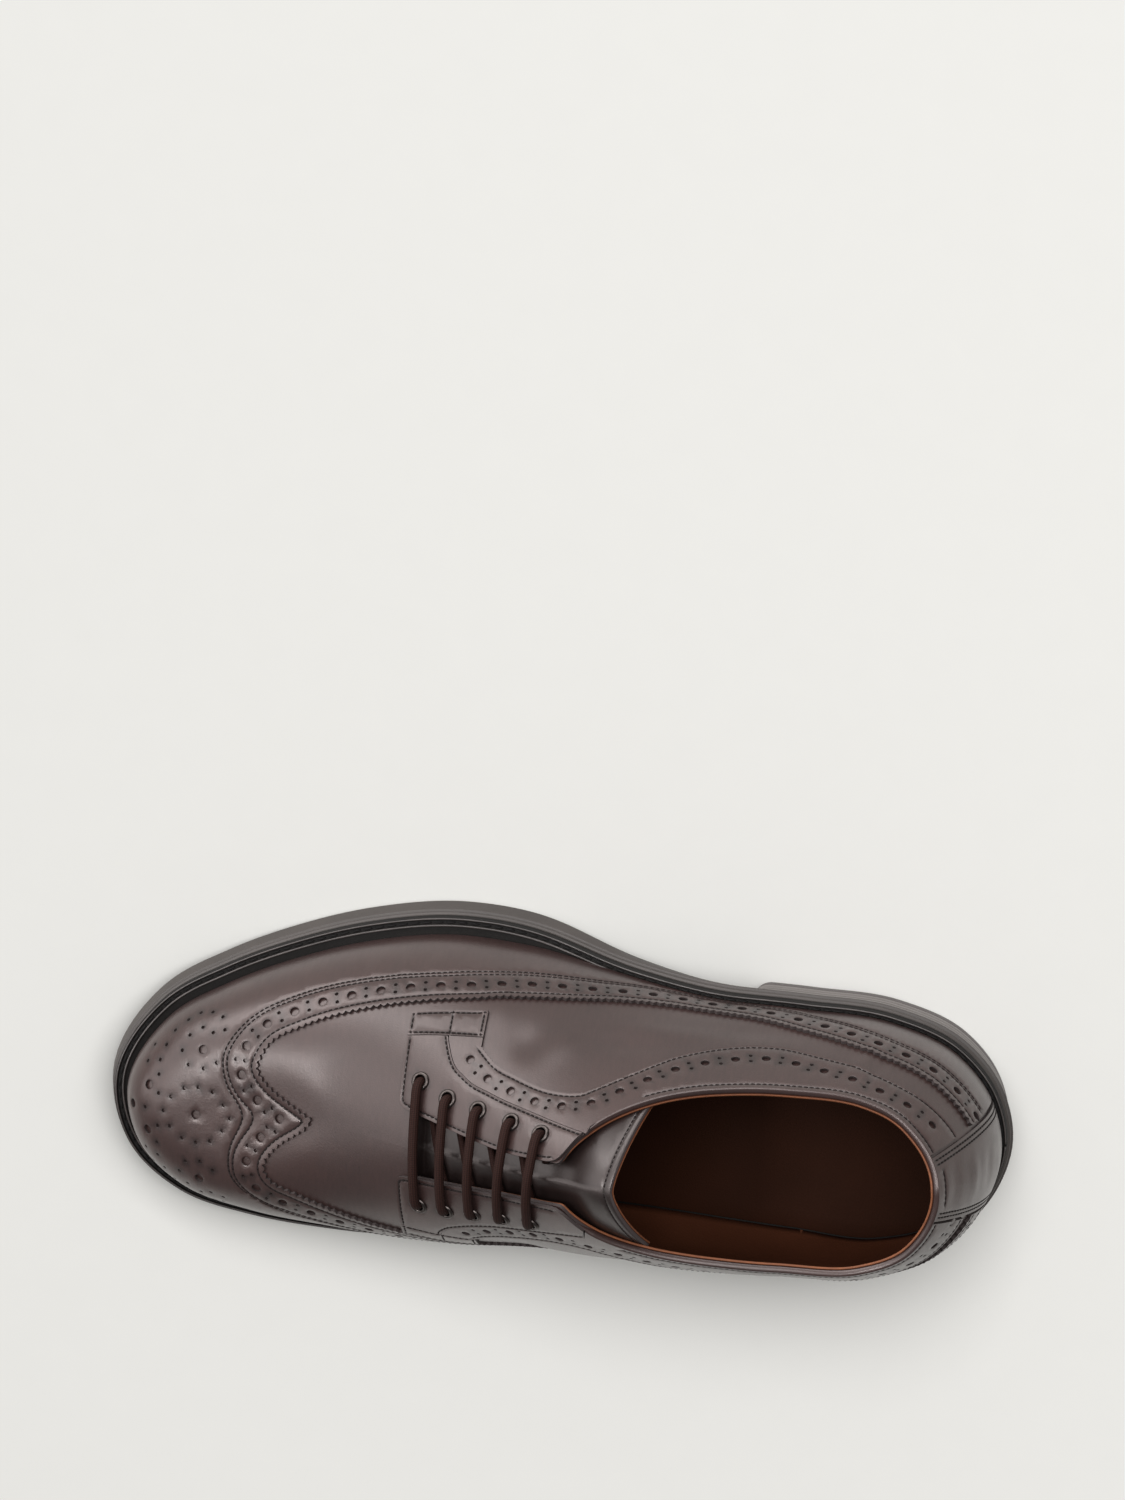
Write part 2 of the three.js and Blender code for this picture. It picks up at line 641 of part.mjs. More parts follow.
const liftRings = [heelRing(blockLow)];
for (let i = 1; i < BLOCK_LIFTS; i++) {
  const seam = blockLow + ((blockHigh - blockLow) * i) / BLOCK_LIFTS;
  liftRings.push(heelRing(seam - LIFT_GROOVE), heelRing(seam, LIFT_GROOVE), heelRing(seam + LIFT_GROOVE));
}
liftRings.push(heelRing(blockHigh));
add('heel_block', bottomPiece(liftRings, heelSides), COLOUR.heel, 0.7);
add('heel_top_lift', bottomPiece([
  heelRing(0, SOLE_BEVEL / 2),
  heelRing(SOLE_BEVEL / 2),
  heelRing(TOP_LIFT),
], heelSides), COLOUR.topLift, 0.9);

// Welt: runs all the way round between outsole and upper, with a raised outer rim and a stitch channel
const WELT_TUCK = 1;
const WELT_SETBACK = 0.9;
const WELT_RIM = 0.4;
const RIM_WIDTH = 1.1;
const weltLow = (x) => soleTop(x) + GAP;
const weltHigh = (x) => soleTop(x) + GAP + WELT_THICKNESS;
const weltStations = bothSides(sides);
add('welt', bottomRing([
  { out: () => -WELT_TUCK, height: weltLow },
  { out: () => -WELT_TUCK, height: weltHigh },
  { out: (x) => soleReach(x) - WELT_SETBACK - RIM_WIDTH - WELT_RIM, height: weltHigh },
  { out: (x) => soleReach(x) - WELT_SETBACK - RIM_WIDTH, height: (x) => weltHigh(x) + WELT_RIM },
  { out: (x) => soleReach(x) - WELT_SETBACK, height: (x) => weltHigh(x) + WELT_RIM / 2 },
  { out: (x) => soleReach(x) - WELT_SETBACK, height: weltLow },
], weltStations), COLOUR.welt, 0.6);

// Insole: lies on the outsole inside the welt and the upper
const insoleOut = () => -WELT_TUCK - GAP;
add('insole', bottomPiece([
  { out: insoleOut, height: (x) => soleTop(x) + GAP },
  { out: insoleOut, height: (x) => soleTop(x) + GAP + INSOLE_THICKNESS },
], sides), COLOUR.lining, 0.6);

// Eyelet places, as a turned frame on the outside of the facings
const OVERLAY_IN = WALL + LEATHER_GAP;
const OVERLAY_OUT = OVERLAY_IN + OVERLAY;
const PUNCH_SIDES = 8;
function standing(geometry, s, up, out) {
  const turn = new THREE.Quaternion().setFromUnitVectors(new THREE.Vector3(0, 1, 0), lastNormal(s, up));
  const place = new THREE.Matrix4().compose(lasted(s, up, out), turn, new THREE.Vector3(1, 1, 1));
  return geometry.clone().applyMatrix4(place);
}
const eyeletPlaces = EYELETS.flatMap((row) => [
  { name: `eyelet_lateral_${row.pair}`, s: -row.outerAlong, up: row.outerUp },
  { name: `eyelet_medial_${row.pair}`, s: row.innerAlong, up: row.innerUp },
]);
const PUNCH_REACH = 6;
const punchRadius = EYELET_BARREL / 2 + GAP;
const punch = new THREE.LatheGeometry([
  new THREE.Vector2(0, -PUNCH_REACH),
  new THREE.Vector2(punchRadius, -PUNCH_REACH),
  new THREE.Vector2(punchRadius, PUNCH_REACH),
  new THREE.Vector2(0, PUNCH_REACH),
], PUNCH_SIDES);
const punches = (side) => eyeletPlaces
  .filter((place) => side === 0 || Math.sign(place.s) === side)
  .map((place) => standing(punch, place.s, place.up, WALL));

// Upper: vamp and quarters as one hollow shell, open at the collar, down the throat and underneath
const COLLAR_START = 0.556;
const [tongueStart, tongueTop] = [TONGUE[0].along, TONGUE[TONGUE.length - 1].along];
const EYELET_STATIONS = [0.376, 0.41, 0.45];
const COLLAR_CORNER = [0.53, 0.543, COLLAR_START, 0.56];
const CUT_STATIONS = [
  tongueStart,
  THROAT_START,
  FACING_BACK,
  TAB_BACK,
  ...EYELET_STATIONS,
  ...COLLAR_CORNER,
  tongueTop,
  STAY_EDGE,
];
const STATION_SPACE = 0.011;
const near = (a) => CUT_STATIONS.some((value) => Math.abs(value - a) < STATION_SPACE);
const upperSides = [...sides.filter((a) => !near(a)), ...CUT_STATIONS].sort((a, b) => a - b);
const stationsBetween = (from, to) => bothSides(upperSides).filter((s) => s >= from && s <= to);
const outerQuarter = stationsBetween(-1, -THROAT_START);
const innerQuarter = stationsBetween(THROAT_START, 1);
const vamp = stationsBetween(-THROAT_START, THROAT_START);
const foot = () => 0;
const ridge = () => 1;
const upperPatches = [
  ...cut(outerQuarter, foot, openEdge),
  ...cut(vamp, foot, ridge),
  ...cut(innerQuarter, foot, openEdge),
];
add('upper', punched(leather(upperPatches, 0, WALL), punches(0)), COLOUR.upper, 0.45);

// Wing cap: runs from the toe along both sides to the heel stay, with its peak on the vamp
const CUT_GAP = 0.004;
const wingStations = stationsBetween(-STAY_EDGE, STAY_EDGE);
const wingEnd = STAY_EDGE - CUT_GAP;
add('wing_cap', leather(
  cut(wingStations.map((s) => Math.max(-wingEnd, Math.min(wingEnd, s))), foot, (s) => cutLine(WING_EDGE, s)),
  OVERLAY_IN,
  OVERLAY_OUT,
), COLOUR.overlay, 0.4);

// Facings with their tabs, and the bands that follow the top line back to the heel stay
for (const [side, name] of [[-1, 'lateral'], [1, 'medial']]) {
  const between = (from, to) => (side < 0 ? stationsBetween(-to, -from) : stationsBetween(from, to));
  const facingLow = (s) => {
    if (Math.abs(s) > FACING_BACK) return cutLine(FACING_EDGE, s) + CUT_GAP;
    return cutLine(TAB, s, 'High') + CUT_GAP;
  };
  const facing = leather(cut(between(THROAT_START, COLLAR_START), facingLow, openEdge), OVERLAY_IN, OVERLAY_OUT);
  add(`facing_${name}`, punched(facing, punches(side)), COLOUR.overlay, 0.4);
  add(`facing_tab_${name}`, leather(
    cut(between(THROAT_START, TAB_BACK), (s) => cutLine(TAB, s, 'Low'), (s) => cutLine(TAB, s, 'High') - CUT_GAP),
    OVERLAY_IN,
    OVERLAY_OUT,
  ), COLOUR.overlay, 0.4);
  const bandHigh = (s) => {
    if (Math.abs(s) > COLLAR_START) return openEdge(s);
    return Math.min(openEdge(s), cutLine(FACING_EDGE, s) - CUT_GAP);
  };
  const bandStations = [...between(TAB_BACK, STAY_EDGE)]
    .map((s) => side * Math.min(Math.abs(s), wingEnd))
    .sort((a, b) => a - b);
  add(`topline_band_${name}`, leather(
    cut(bandStations, (s) => cutLine(BAND_EDGE, s), bandHigh),
    OVERLAY_IN,
    OVERLAY_OUT,
  ), COLOUR.overlay, 0.4);
}

// Heel stay: covers the back seam from the collar to the welt
const stayStations = [...stationsBetween(STAY_EDGE, 1), ...stationsBetween(-1, -STAY_EDGE).slice(1).map((s) => s + 2)];
add('heel_stay', leather(cut(stayStations, foot, openEdge), OVERLAY_IN, OVERLAY_OUT), COLOUR.overlay, 0.4);

// Tongue: lies under the throat and rises past the top eyelets
const tongueEdge = (s) => cutLine(TONGUE, s);
const tonguePatches = [
  ...cut(stationsBetween(-tongueTop, -tongueStart), tongueEdge, ridge),
  ...cut(stationsBetween(tongueStart, tongueTop), tongueEdge, ridge),
];
add('tongue', leather(tonguePatches, -LEATHER_GAP - TONGUE_THICKNESS, -LEATHER_GAP), COLOUR.upper, 0.35);

// Eyelets: a flange on the facing with a barrel through both leathers
const barrelLength = OVERLAY_OUT + GAP / 2;
const eyelet = new THREE.LatheGeometry([
  new THREE.Vector2(EYELET_BORE / 2, -barrelLength),
  new THREE.Vector2(EYELET_BARREL / 2, -barrelLength),
  new THREE.Vector2(EYELET_BARREL / 2, GAP / 2),
  new THREE.Vector2(EYELET_OUTSIDE / 2, GAP / 2),
  new THREE.Vector2(EYELET_OUTSIDE / 2 - EYELET_FLANGE / 2, GAP / 2 + EYELET_FLANGE),
  new THREE.Vector2(EYELET_BORE / 2, GAP / 2 + EYELET_FLANGE),
  new THREE.Vector2(EYELET_BORE / 2, -barrelLength),
], PUNCH_SIDES);
for (const place of eyeletPlaces) {
  add(place.name, standing(eyelet, place.s, place.up, OVERLAY_OUT), COLOUR.eyelet, 0.35, 0.9);
}

// Lace: one bar over each pair of eyelets
const LACE_SIDES = 8;
const BAR_STEPS = 8;
const BAR_SAG = 1;
const BAR_POINTS = [0, 0.3, 0.6];
const laceOut = OVERLAY_OUT + EYELET_FLANGE + LACE_DIAMETER / 2 + GAP * 2;
const laceSection = new THREE.Shape(
  spread(0, 2 * Math.PI, LACE_SIDES).slice(0, -1).map((angle) => new THREE.Vector2(
    (Math.cos(angle) * LACE_DIAMETER) / 2,
    (Math.sin(angle) * LACE_DIAMETER) / 2,
  )),
);
for (const row of EYELETS) {
  const over = (s, up, share) => lasted(s, up + (1 - up) * share, laceOut - BAR_SAG * share ** 2);
  const outerHalf = BAR_POINTS.map((share) => over(-row.outerAlong, row.outerUp, share));
  const innerHalf = BAR_POINTS.map((share) => over(row.innerAlong, row.innerUp, share));
  const crest = over((row.innerAlong + row.outerAlong) / 2, 1, 1);
  const route = [...outerHalf, crest, ...innerHalf.reverse()];
  const bar = new THREE.ExtrudeGeometry(laceSection, {
    steps: BAR_STEPS,
    extrudePath: new THREE.CatmullRomCurve3(route),
    bevelEnabled: false,
  });
  add(`lace_bar_${row.pair}`, bar, COLOUR.lace, 0.8);
}

const box = new THREE.Box3().setFromObject(shoe);
const middle = box.getCenter(new THREE.Vector3());
shoe.position.set(-middle.x, -middle.y, -box.min.z);

export default shoe;
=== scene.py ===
# Wingtip lace-up shoe: the looks of a right longwing derby, dressed over its CAD frame.
# Shapes are worked out in millimetres on the shoemaker's last, with x = 0 at the back of the last,
# and are put into the frame in metres. Toe towards +X, inner side of the foot towards +Y.
import math

import bmesh
import bpy
import numpy as np
from mathutils import Matrix, Vector, geometry, kdtree


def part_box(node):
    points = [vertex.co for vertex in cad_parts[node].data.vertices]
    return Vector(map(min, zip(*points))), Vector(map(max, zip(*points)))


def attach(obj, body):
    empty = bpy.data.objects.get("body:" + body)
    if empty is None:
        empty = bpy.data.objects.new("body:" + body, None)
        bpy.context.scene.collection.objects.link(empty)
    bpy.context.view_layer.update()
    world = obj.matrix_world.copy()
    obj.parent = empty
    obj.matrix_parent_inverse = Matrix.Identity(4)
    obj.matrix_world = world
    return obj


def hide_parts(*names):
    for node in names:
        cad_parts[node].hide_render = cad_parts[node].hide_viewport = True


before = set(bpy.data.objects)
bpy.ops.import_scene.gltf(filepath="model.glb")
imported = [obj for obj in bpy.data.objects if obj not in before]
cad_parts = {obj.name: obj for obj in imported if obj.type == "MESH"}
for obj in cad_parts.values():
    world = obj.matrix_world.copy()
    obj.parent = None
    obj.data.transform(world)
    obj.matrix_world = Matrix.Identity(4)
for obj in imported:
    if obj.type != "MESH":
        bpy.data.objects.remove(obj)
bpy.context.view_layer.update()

# Camera: stands over the heel on the outer side and looks down at the shoe, turned so that the toe
# points left. The shoe lies low in the picture, so the camera is aimed above it.
scene = bpy.context.scene
CAMERA_AZIMUTH, CAMERA_ELEVATION, CAMERA_ROLL = (math.radians(a) for a in (-25.11, 74.53, 209.06))
CAMERA_DISTANCE = 2.454
CAMERA_TARGET = Vector((-0.0025, 0.0008, 0.030))
AIM_ABOVE = math.radians(2.732)
LENS = 177.3

towards = Vector((
    math.sin(CAMERA_AZIMUTH) * math.cos(CAMERA_ELEVATION),
    -math.cos(CAMERA_AZIMUTH) * math.cos(CAMERA_ELEVATION),
    math.sin(CAMERA_ELEVATION),
))
across = (-towards).cross(Vector((0, 0, 1))).normalized()
upright = across.cross(-towards)
right = math.cos(CAMERA_ROLL) * across + math.sin(CAMERA_ROLL) * upright
above = -math.sin(CAMERA_ROLL) * across + math.cos(CAMERA_ROLL) * upright
backward = math.cos(AIM_ABOVE) * towards - math.sin(AIM_ABOVE) * above
above = backward.cross(right).normalized()
camera = bpy.data.objects.new("camera", bpy.data.cameras.new("camera"))
turn = Matrix((right, above, backward)).transposed().to_4x4()
camera.matrix_world = Matrix.Translation(CAMERA_TARGET + CAMERA_DISTANCE * towards) @ turn
camera.data.lens = LENS
camera.data.sensor_width = 36
camera.data.clip_end = 20
scene.collection.objects.link(camera)
scene.camera = camera
scene.view_settings.view_transform = "Standard"

# Studio: a pale seamless floor, a broad soft light from the outer side, three smaller ones that only
# the shoe gets, and a weak one all round.


def linear(shade):
    """sRGB hex colour as linear red, green, blue, alpha."""
    channels = [int(shade[i:i + 2], 16) / 255 for i in (1, 3, 5)]
    return [c / 12.92 if c <= 0.04045 else ((c + 0.055) / 1.055) ** 2.4 for c in channels] + [1]


def node(tree, kind, inputs=None, **settings):
    """Adds a node with its settings, values and links."""
    made = tree.nodes.new(kind)
    for key, value in settings.items():
        setattr(made, key, value)
    for key, value in (inputs or {}).items():
        if isinstance(value, bpy.types.NodeSocket):
            tree.links.new(value, made.inputs[key])
        else:
            made.inputs[key].default_value = value
    return made


def finish_of(name):
    """New material with an empty principled shader; gives the material, its tree and the shader."""
    material = bpy.data.materials.new(name)
    material.use_nodes = True
    tree = material.node_tree
    return material, tree, tree.nodes["Principled BSDF"]


# Seamless paper: nearly white and fully matt
paper, paper_tree, paper_shader = finish_of("matt_paper")
speckle = node(paper_tree, "ShaderNodeTexNoise", {"Scale": 900.0, "Detail": 2.0})
shade = node(paper_tree, "ShaderNodeValToRGB", {"Fac": speckle.outputs["Fac"]})
shade.color_ramp.elements[0].color = linear("#edece8")
shade.color_ramp.elements[1].color = linear("#efeeea")
paper_tree.links.new(shade.outputs["Color"], paper_shader.inputs["Base Color"])
paper_shader.inputs["Roughness"].default_value = 0.9
floor_mesh = bmesh.new()
bmesh.ops.create_grid(floor_mesh, x_segments=8, y_segments=8, size=6)
floor = bpy.data.objects.new("floor", bpy.data.meshes.new("floor"))
floor_mesh.to_mesh(floor.data)
floor_mesh.free()
floor.data.materials.append(paper)
scene.collection.objects.link(floor)

world = bpy.data.worlds.new("studio")
world.use_nodes = True
world.node_tree.nodes["Background"].inputs["Color"].default_value = (1.0, 0.995, 0.985, 1)
world.node_tree.nodes["Background"].inputs["Strength"].default_value = 0.25
scene.world = world


def softbox(name, place, power, width, depth):
    """Area light that shines at the shoe."""
    lamp = bpy.data.lights.new(name, "AREA")
    lamp.shape = "RECTANGLE"
    lamp.size, lamp.size_y = width, depth
    lamp.energy = power
    made = bpy.data.objects.new(name, lamp)
    made.location = place
    made.rotation_euler = (-Vector(place)).to_track_quat("-Z", "Y").to_euler()
    scene.collection.objects.link(made)
    return made


softbox("key_light", (-0.8, -1.4, 4.15), 174, 3.6, 2.2)
toe_light = softbox("toe_light", (1.99, -0.93, 1.42), 58, 3.8, 2.1)
side_light = softbox("side_light", (0.7, -2.6, 0.75), 80, 4.0, 1.4)
top_light = softbox("top_light", (1.25, -0.12, 2.17), 22, 0.45, 0.45)
# A flag keeps the three small lights off the paper
flagged = bpy.data.collections.new("flagged")
flagged.objects.link(floor)
flagged.collection_objects[0].light_linking.link_state = "EXCLUDE"
for lamp in (toe_light, side_light, top_light):
    lamp.light_linking.receiver_collection = flagged

# The last: every leather and the whole bottom are drawn on it. Lengths are shares of the last's
# length, widths are shares of its ball width and heights are shares of the instep.
LAST_LENGTH, BALL_WIDTH, INSTEP_HEIGHT = 286.0, 93.0, 75.0
TOE_SPRING, HEEL_HEIGHT = 11.2, 21.0
FOREPART_SOLE, WAIST_SOLE, TOP_LIFT, WELT_THICKNESS = 10.0, 7.0, 6.0, 3.5
FOREPART_REACH, WAIST_REACH, SOLE_FLARE = 9.7, 6.0, 2.0
GAP = 0.3
TREAD_START, TREAD_END, HEEL_BREAST = 0.57 * LAST_LENGTH, 0.763 * LAST_LENGTH, 0.294 * LAST_LENGTH
REAR_FAN, FRONT_FAN, FAN_BLEND = 0.157 * LAST_LENGTH, 0.748 * LAST_LENGTH, 0.07 * LAST_LENGTH
WAIST_END, REACH_START, REACH_END = 0.323 * LAST_LENGTH, 0.42 * LAST_LENGTH, 0.6 * LAST_LENGTH
SPRING_POWER = 1.8
BELLY_RISE, FOOT_BLEND, LEVEL_BLEND, CREST_BLEND, CREST_LIMIT = 0.33, 0.15, 0.2, 0.85, 0.985
FEATHER = np.array([
    (0.0, 0.011), (0.014, -0.145), (0.053, -0.278), (0.126, -0.365), (0.226, -0.387), (0.342, -0.4),
    (0.449, -0.441), (0.558, -0.495), (0.65, -0.51), (0.736, -0.467), (0.818, -0.389), (0.896, -0.286),
    (0.958, -0.169), (1.0, 0.067), (0.984, 0.252), (0.935, 0.387), (0.862, 0.455), (0.783, 0.485),
    (0.713, 0.489), (0.634, 0.454), (0.547, 0.4), (0.45, 0.37), (0.343, 0.361), (0.226, 0.381),
    (0.126, 0.394), (0.053, 0.317), (0.014, 0.174),
])
TOE_ROW = 13
# Ridge of the closed last: length, height, side shift
RIDGE = np.array([
    (0.05, 1.573, 0.043), (0.28, 1.573, 0.054), (0.364, 1.547, 0.07), (0.42, 1.48, 0.086),
    (0.483, 1.347, 0.097), (0.552, 1.173, 0.102), (0.629, 1.0, 0.097), (0.699, 0.86, 0.086),
    (0.769, 0.747, 0.07), (0.839, 0.68, 0.065), (0.916, 0.627, 0.065), (1.0, 0.573, 0.065),
])
# Ribs from toe (0) to heel back (1): along, belly, lean, rise, roof
OUTER_RIBS = np.array([
    (0.0, 0.022, 0.02, 0.86, 0.34), (0.1, 0.022, 0.03, 0.86, 0.36), (0.2, 0.027, 0.05, 0.86, 0.44),
    (0.3, 0.022, 0.09, 0.84, 0.5), (0.42, 0.011, 0.2, 0.7, 0.58), (0.55, 0.005, 0.33, 0.54, 0.62),
    (0.68, 0.005, 0.3, 0.5, 0.58), (0.8, 0.022, 0.28, 0.5, 0.56), (0.9, 0.043, 0.22, 0.52, 0.5),
    (1.0, 0.054, 0.14, 0.56, 0.36),
])
INNER_RIBS = np.array([
    (0.0, 0.022, 0.02, 0.86, 0.34), (0.1, 0.022, 0.03, 0.86, 0.36), (0.2, 0.022, 0.03, 0.86, 0.44),
    (0.3, 0.032, 0.0, 0.84, 0.48), (0.42, 0.14, -0.09, 0.76, 0.52), (0.55, 0.204, -0.16, 0.62, 0.54),
    (0.68, 0.183, -0.12, 0.56, 0.48), (0.8, 0.108, -0.02, 0.54, 0.44), (0.9, 0.065, 0.08, 0.54, 0.42),
    (1.0, 0.054, 0.14, 0.56, 0.36),
])
STEP = 0.001


def smooth(value, start, end):
    t = np.clip((np.asarray(value, float) - start) / (end - start), 0, 1)
    return t * t * (3 - 2 * t)


def curve(knots, values, at):
    """Smooth curve through the values at the knots."""
    run = np.diff(knots)
    slope = np.diff(values) / run
    inner = (slope[:-1] * run[1:] + slope[1:] * run[:-1]) / (run[:-1] + run[1:])
    tangent = np.concatenate([slope[:1], inner, slope[-1:]])
    i = np.clip(np.searchsorted(knots, at, side="right") - 1, 0, len(knots) - 2)
    u = np.clip((at - knots[i]) / run[i], 0, 1)
    start = ((2 * u - 3) * u * u + 1) * values[i]
    leave = (u - 1) ** 2 * u * run[i] * tangent[i]
    end = (3 - 2 * u) * u * u * values[i + 1]
    arrive = (u - 1) * u * u * run[i] * tangent[i + 1]
    return start + leave + end + arrive


closed_feather = np.array([FEATHER[i % len(FEATHER)] for i in range(-1, len(FEATHER) + 2)])
closed_feather = closed_feather * (LAST_LENGTH, BALL_WIDTH)
girth = np.concatenate([[0], np.cumsum(np.hypot(*np.diff(closed_feather, axis=0).T))])
HEEL_KNOT, TOE_KNOT, END_KNOT = girth[1], girth[1 + TOE_ROW], girth[-2]


def wrap(s):
    """The chart runs from -1 at the heel back, along the outer side, to 0 at the toe and 1 at the heel."""
    s = np.asarray(s, float)
    return np.where(s > 1, s - 2, np.where(s < -1, s + 2, s))


def feather_point(s):
    s = wrap(s)
    outer_side = HEEL_KNOT + (TOE_KNOT - HEEL_KNOT) * (1 + s)
    inner_side = TOE_KNOT + (END_KNOT - TOE_KNOT) * s
    knot = np.where(s < 0, outer_side, inner_side)
    return curve(girth, closed_feather[:, 0], knot), curve(girth, closed_feather[:, 1], knot)


def edge_point(s, out):
    """Point beside the feather edge, out from it by so many millimetres."""
    x, y = feather_point(s)
    ahead, behind = feather_point(s + STEP), feather_point(s - STEP)
    run = np.hypot(ahead[0] - behind[0], ahead[1] - behind[1])
    return x + (ahead[1] - behind[1]) / run * out, y - (ahead[0] - behind[0]) / run * out


def underside(x):
    spring = np.maximum(0, (x - TREAD_END) / (LAST_LENGTH + FOREPART_REACH - TREAD_END))
    return TOE_SPRING * spring ** SPRING_POWER + HEEL_HEIGHT * smooth(-x, -TREAD_START, -HEEL_BREAST)


def sole_top(x):
    thickness = WAIST_SOLE + (FOREPART_SOLE - WAIST_SOLE) * smooth(x, WAIST_END, TREAD_START)
    return underside(x) + thickness


def sole_reach(x):
    return WAIST_REACH + (FOREPART_REACH - WAIST_REACH) * smooth(x, REACH_START, REACH_END)


def feather_height(x):
    return sole_top(x) + WELT_THICKNESS + 2 * GAP


def spine(s):
    """Place along the ridge where a rib ends."""
    a = np.abs(s)
    middle = (feather_point(-a)[0] + feather_point(a)[0]) / 2

    def cap(x, limit):
        blend = x - (x - limit + FAN_BLEND) ** 2 / (4 * FAN_BLEND)
        return np.where(x >= limit + FAN_BLEND, limit, np.where(x <= limit - FAN_BLEND, x, blend))

    return -cap(-cap(middle, FRONT_FAN), -REAR_FAN)


def ridge_height(x):
    return curve(RIDGE[:, 0], RIDGE[:, 1], x / LAST_LENGTH) * INSTEP_HEIGHT


def ridge_slope(x):
    return (ridge_height(x + 1) - ridge_height(x - 1)) / 2


def rib_ends(s):
    """Foot and top of a rib in plan, its reach, and the way from foot to top."""
    foot_x, foot_y = feather_point(s)
    top_x = spine(s)
    top_y = curve(RIDGE[:, 0], RIDGE[:, 2], top_x / LAST_LENGTH) * BALL_WIDTH
    reach = np.hypot(top_x - foot_x, top_y - foot_y)
    return foot_x, foot_y, top_x, top_y, reach, (top_x - foot_x) / reach, (top_y - foot_y) / reach


def last_point(s, up):
    s, up = np.broadcast_arrays(wrap(s), np.asarray(up, float))
    foot_x, foot_y, top_x, top_y, reach, ex, ey = rib_ends(s)
    low = feather_height(foot_x)
    height = ridge_height(top_x) - low
    belly, lean, rise, roof = (np.where(
        s < 0,
        curve(OUTER_RIBS[:, 0], OUTER_RIBS[:, k], np.abs(s)),
        curve(INNER_RIBS[:, 0], INNER_RIBS[:, k], np.abs(s)),
    ) for k in (1, 2, 3, 4))
    drop = ridge_slope(top_x) * ex * (1 - roof) * reach
    inward = (0, -belly * BALL_WIDTH, lean * reach, roof * reach, reach)
    upward = (0, BELLY_RISE * height, rise * height, height - drop, height)
    down = 1 - up
    weights = (down ** 4, 4 * down ** 3 * up, 6 * down ** 2 * up ** 2, 4 * down * up ** 3, up ** 4)
    inwards = sum(w * v for w, v in zip(weights, inward))
    upwards = sum(w * v for w, v in zip(weights, upward))
    return np.stack([foot_x + ex * inwards, foot_y + ey * inwards, low + upwards], -1)


def unit(v):
    return v / np.linalg.norm(v, axis=-1, keepdims=True)


def last_normal(s, up):
    s, up = np.broadcast_arrays(np.asarray(s, float), np.asarray(up, float))
    level = np.minimum(up, CREST_LIMIT)
    along_foot = last_point(s + STEP, level) - last_point(s - STEP, level)
    along_rib = last_point(s, np.minimum(level + STEP, 1)) - last_point(s, np.maximum(level - STEP, 0))
    normal = unit(np.cross(along_foot, along_rib))
    slope = ridge_slope(spine(wrap(s)))
    crest = unit(np.stack([-slope, 0 * slope, 1 + 0 * slope], -1))
    normal[..., 2] *= smooth(up, 0, FOOT_BLEND)
    normal = unit(normal)
    return unit(normal + (crest - normal) * smooth(up, CREST_BLEND, 1)[..., None])


def lasted(s, up, out):
    """Point on the last, or out from it by so many millimetres."""
    base = last_point(s, up)
    point = base + last_normal(s, up) * np.broadcast_to(out, base.shape[:-1])[..., None]
    level = feather_height(point[..., 0]) - feather_height(base[..., 0])
    point[..., 2] += level * (1 - smooth(up, 0, LEVEL_BLEND))
    return point


# The middle of the sole's outline is the frame's origin
outline_s = np.linspace(-1, 1, 4001)
outline_x = edge_point(outline_s, sole_reach(feather_point(outline_s)[0]))[0]
flared_y = edge_point(outline_s, sole_reach(feather_point(outline_s)[0]) + SOLE_FLARE)[1]
outsole_low, outsole_high = (np.array(corner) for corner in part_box("outsole"))
SHIFT = np.array([
    outline_x.min() - 0.7 - outsole_low[0] * 1000,
    (flared_y.min() + flared_y.max()) / 2 - (outsole_low[1] + outsole_high[1]) * 500,
    0,
])


def metres(points):
    return (np.asarray(points, float) - SHIFT) / 1000


def piece(name, mesh, body_slot, replaced, *materials):
    """Puts a finished mesh into the scene as a piece that rides on the shoe."""
    made = bpy.data.objects.new(name, mesh)
    scene.collection.objects.link(made)
    for material in materials:
        mesh.materials.append(material)
    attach(made, "root")
    if replaced:
        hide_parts(*replaced)
    return made


def shaded(work, name, sharp=math.radians(35)):
    """Mesh from a bmesh in millimetres, smooth but for its sharp edges."""
    bmesh.ops.recalc_face_normals(work, faces=work.faces)
    for face in work.faces:
        face.smooth = True
    for edge in work.edges:
        edge.smooth = len(edge.link_faces) == 2 and edge.calc_face_angle(0) < sharp
    for vertex in work.verts:
        vertex.co = Vector(metres(vertex.co))
    mesh = bpy.data.meshes.new(name)
    work.to_mesh(mesh)
    work.free()
    return mesh


def swept(work, rows):
    """Adds a surface through rows of points, made from a grid that is moved onto them."""
    rows = np.asarray(rows, float)
    count_u, count_v = rows.shape[:2]
    made = bmesh.ops.create_grid(work, x_segments=count_u - 1, y_segments=count_v - 1, size=1)["verts"]
    order = sorted(made, key=lambda v: (round(v.co.x, 5), round(v.co.y, 5)))
    for vertex, point in zip(order, rows.reshape(-1, 3)):
        vertex.co = point


# Outsole: a dense rubber sole with a dressed, matt edge. It is ground to shape, so its side leans out
# to the floor, and a thin rib is left below the welt.
SIDE_STEPS = 150
RUNG_STEPS = 14
sides = np.linspace(0, 1, SIDE_STEPS + 1)
around = np.concatenate([-sides[::-1], sides[1:]])


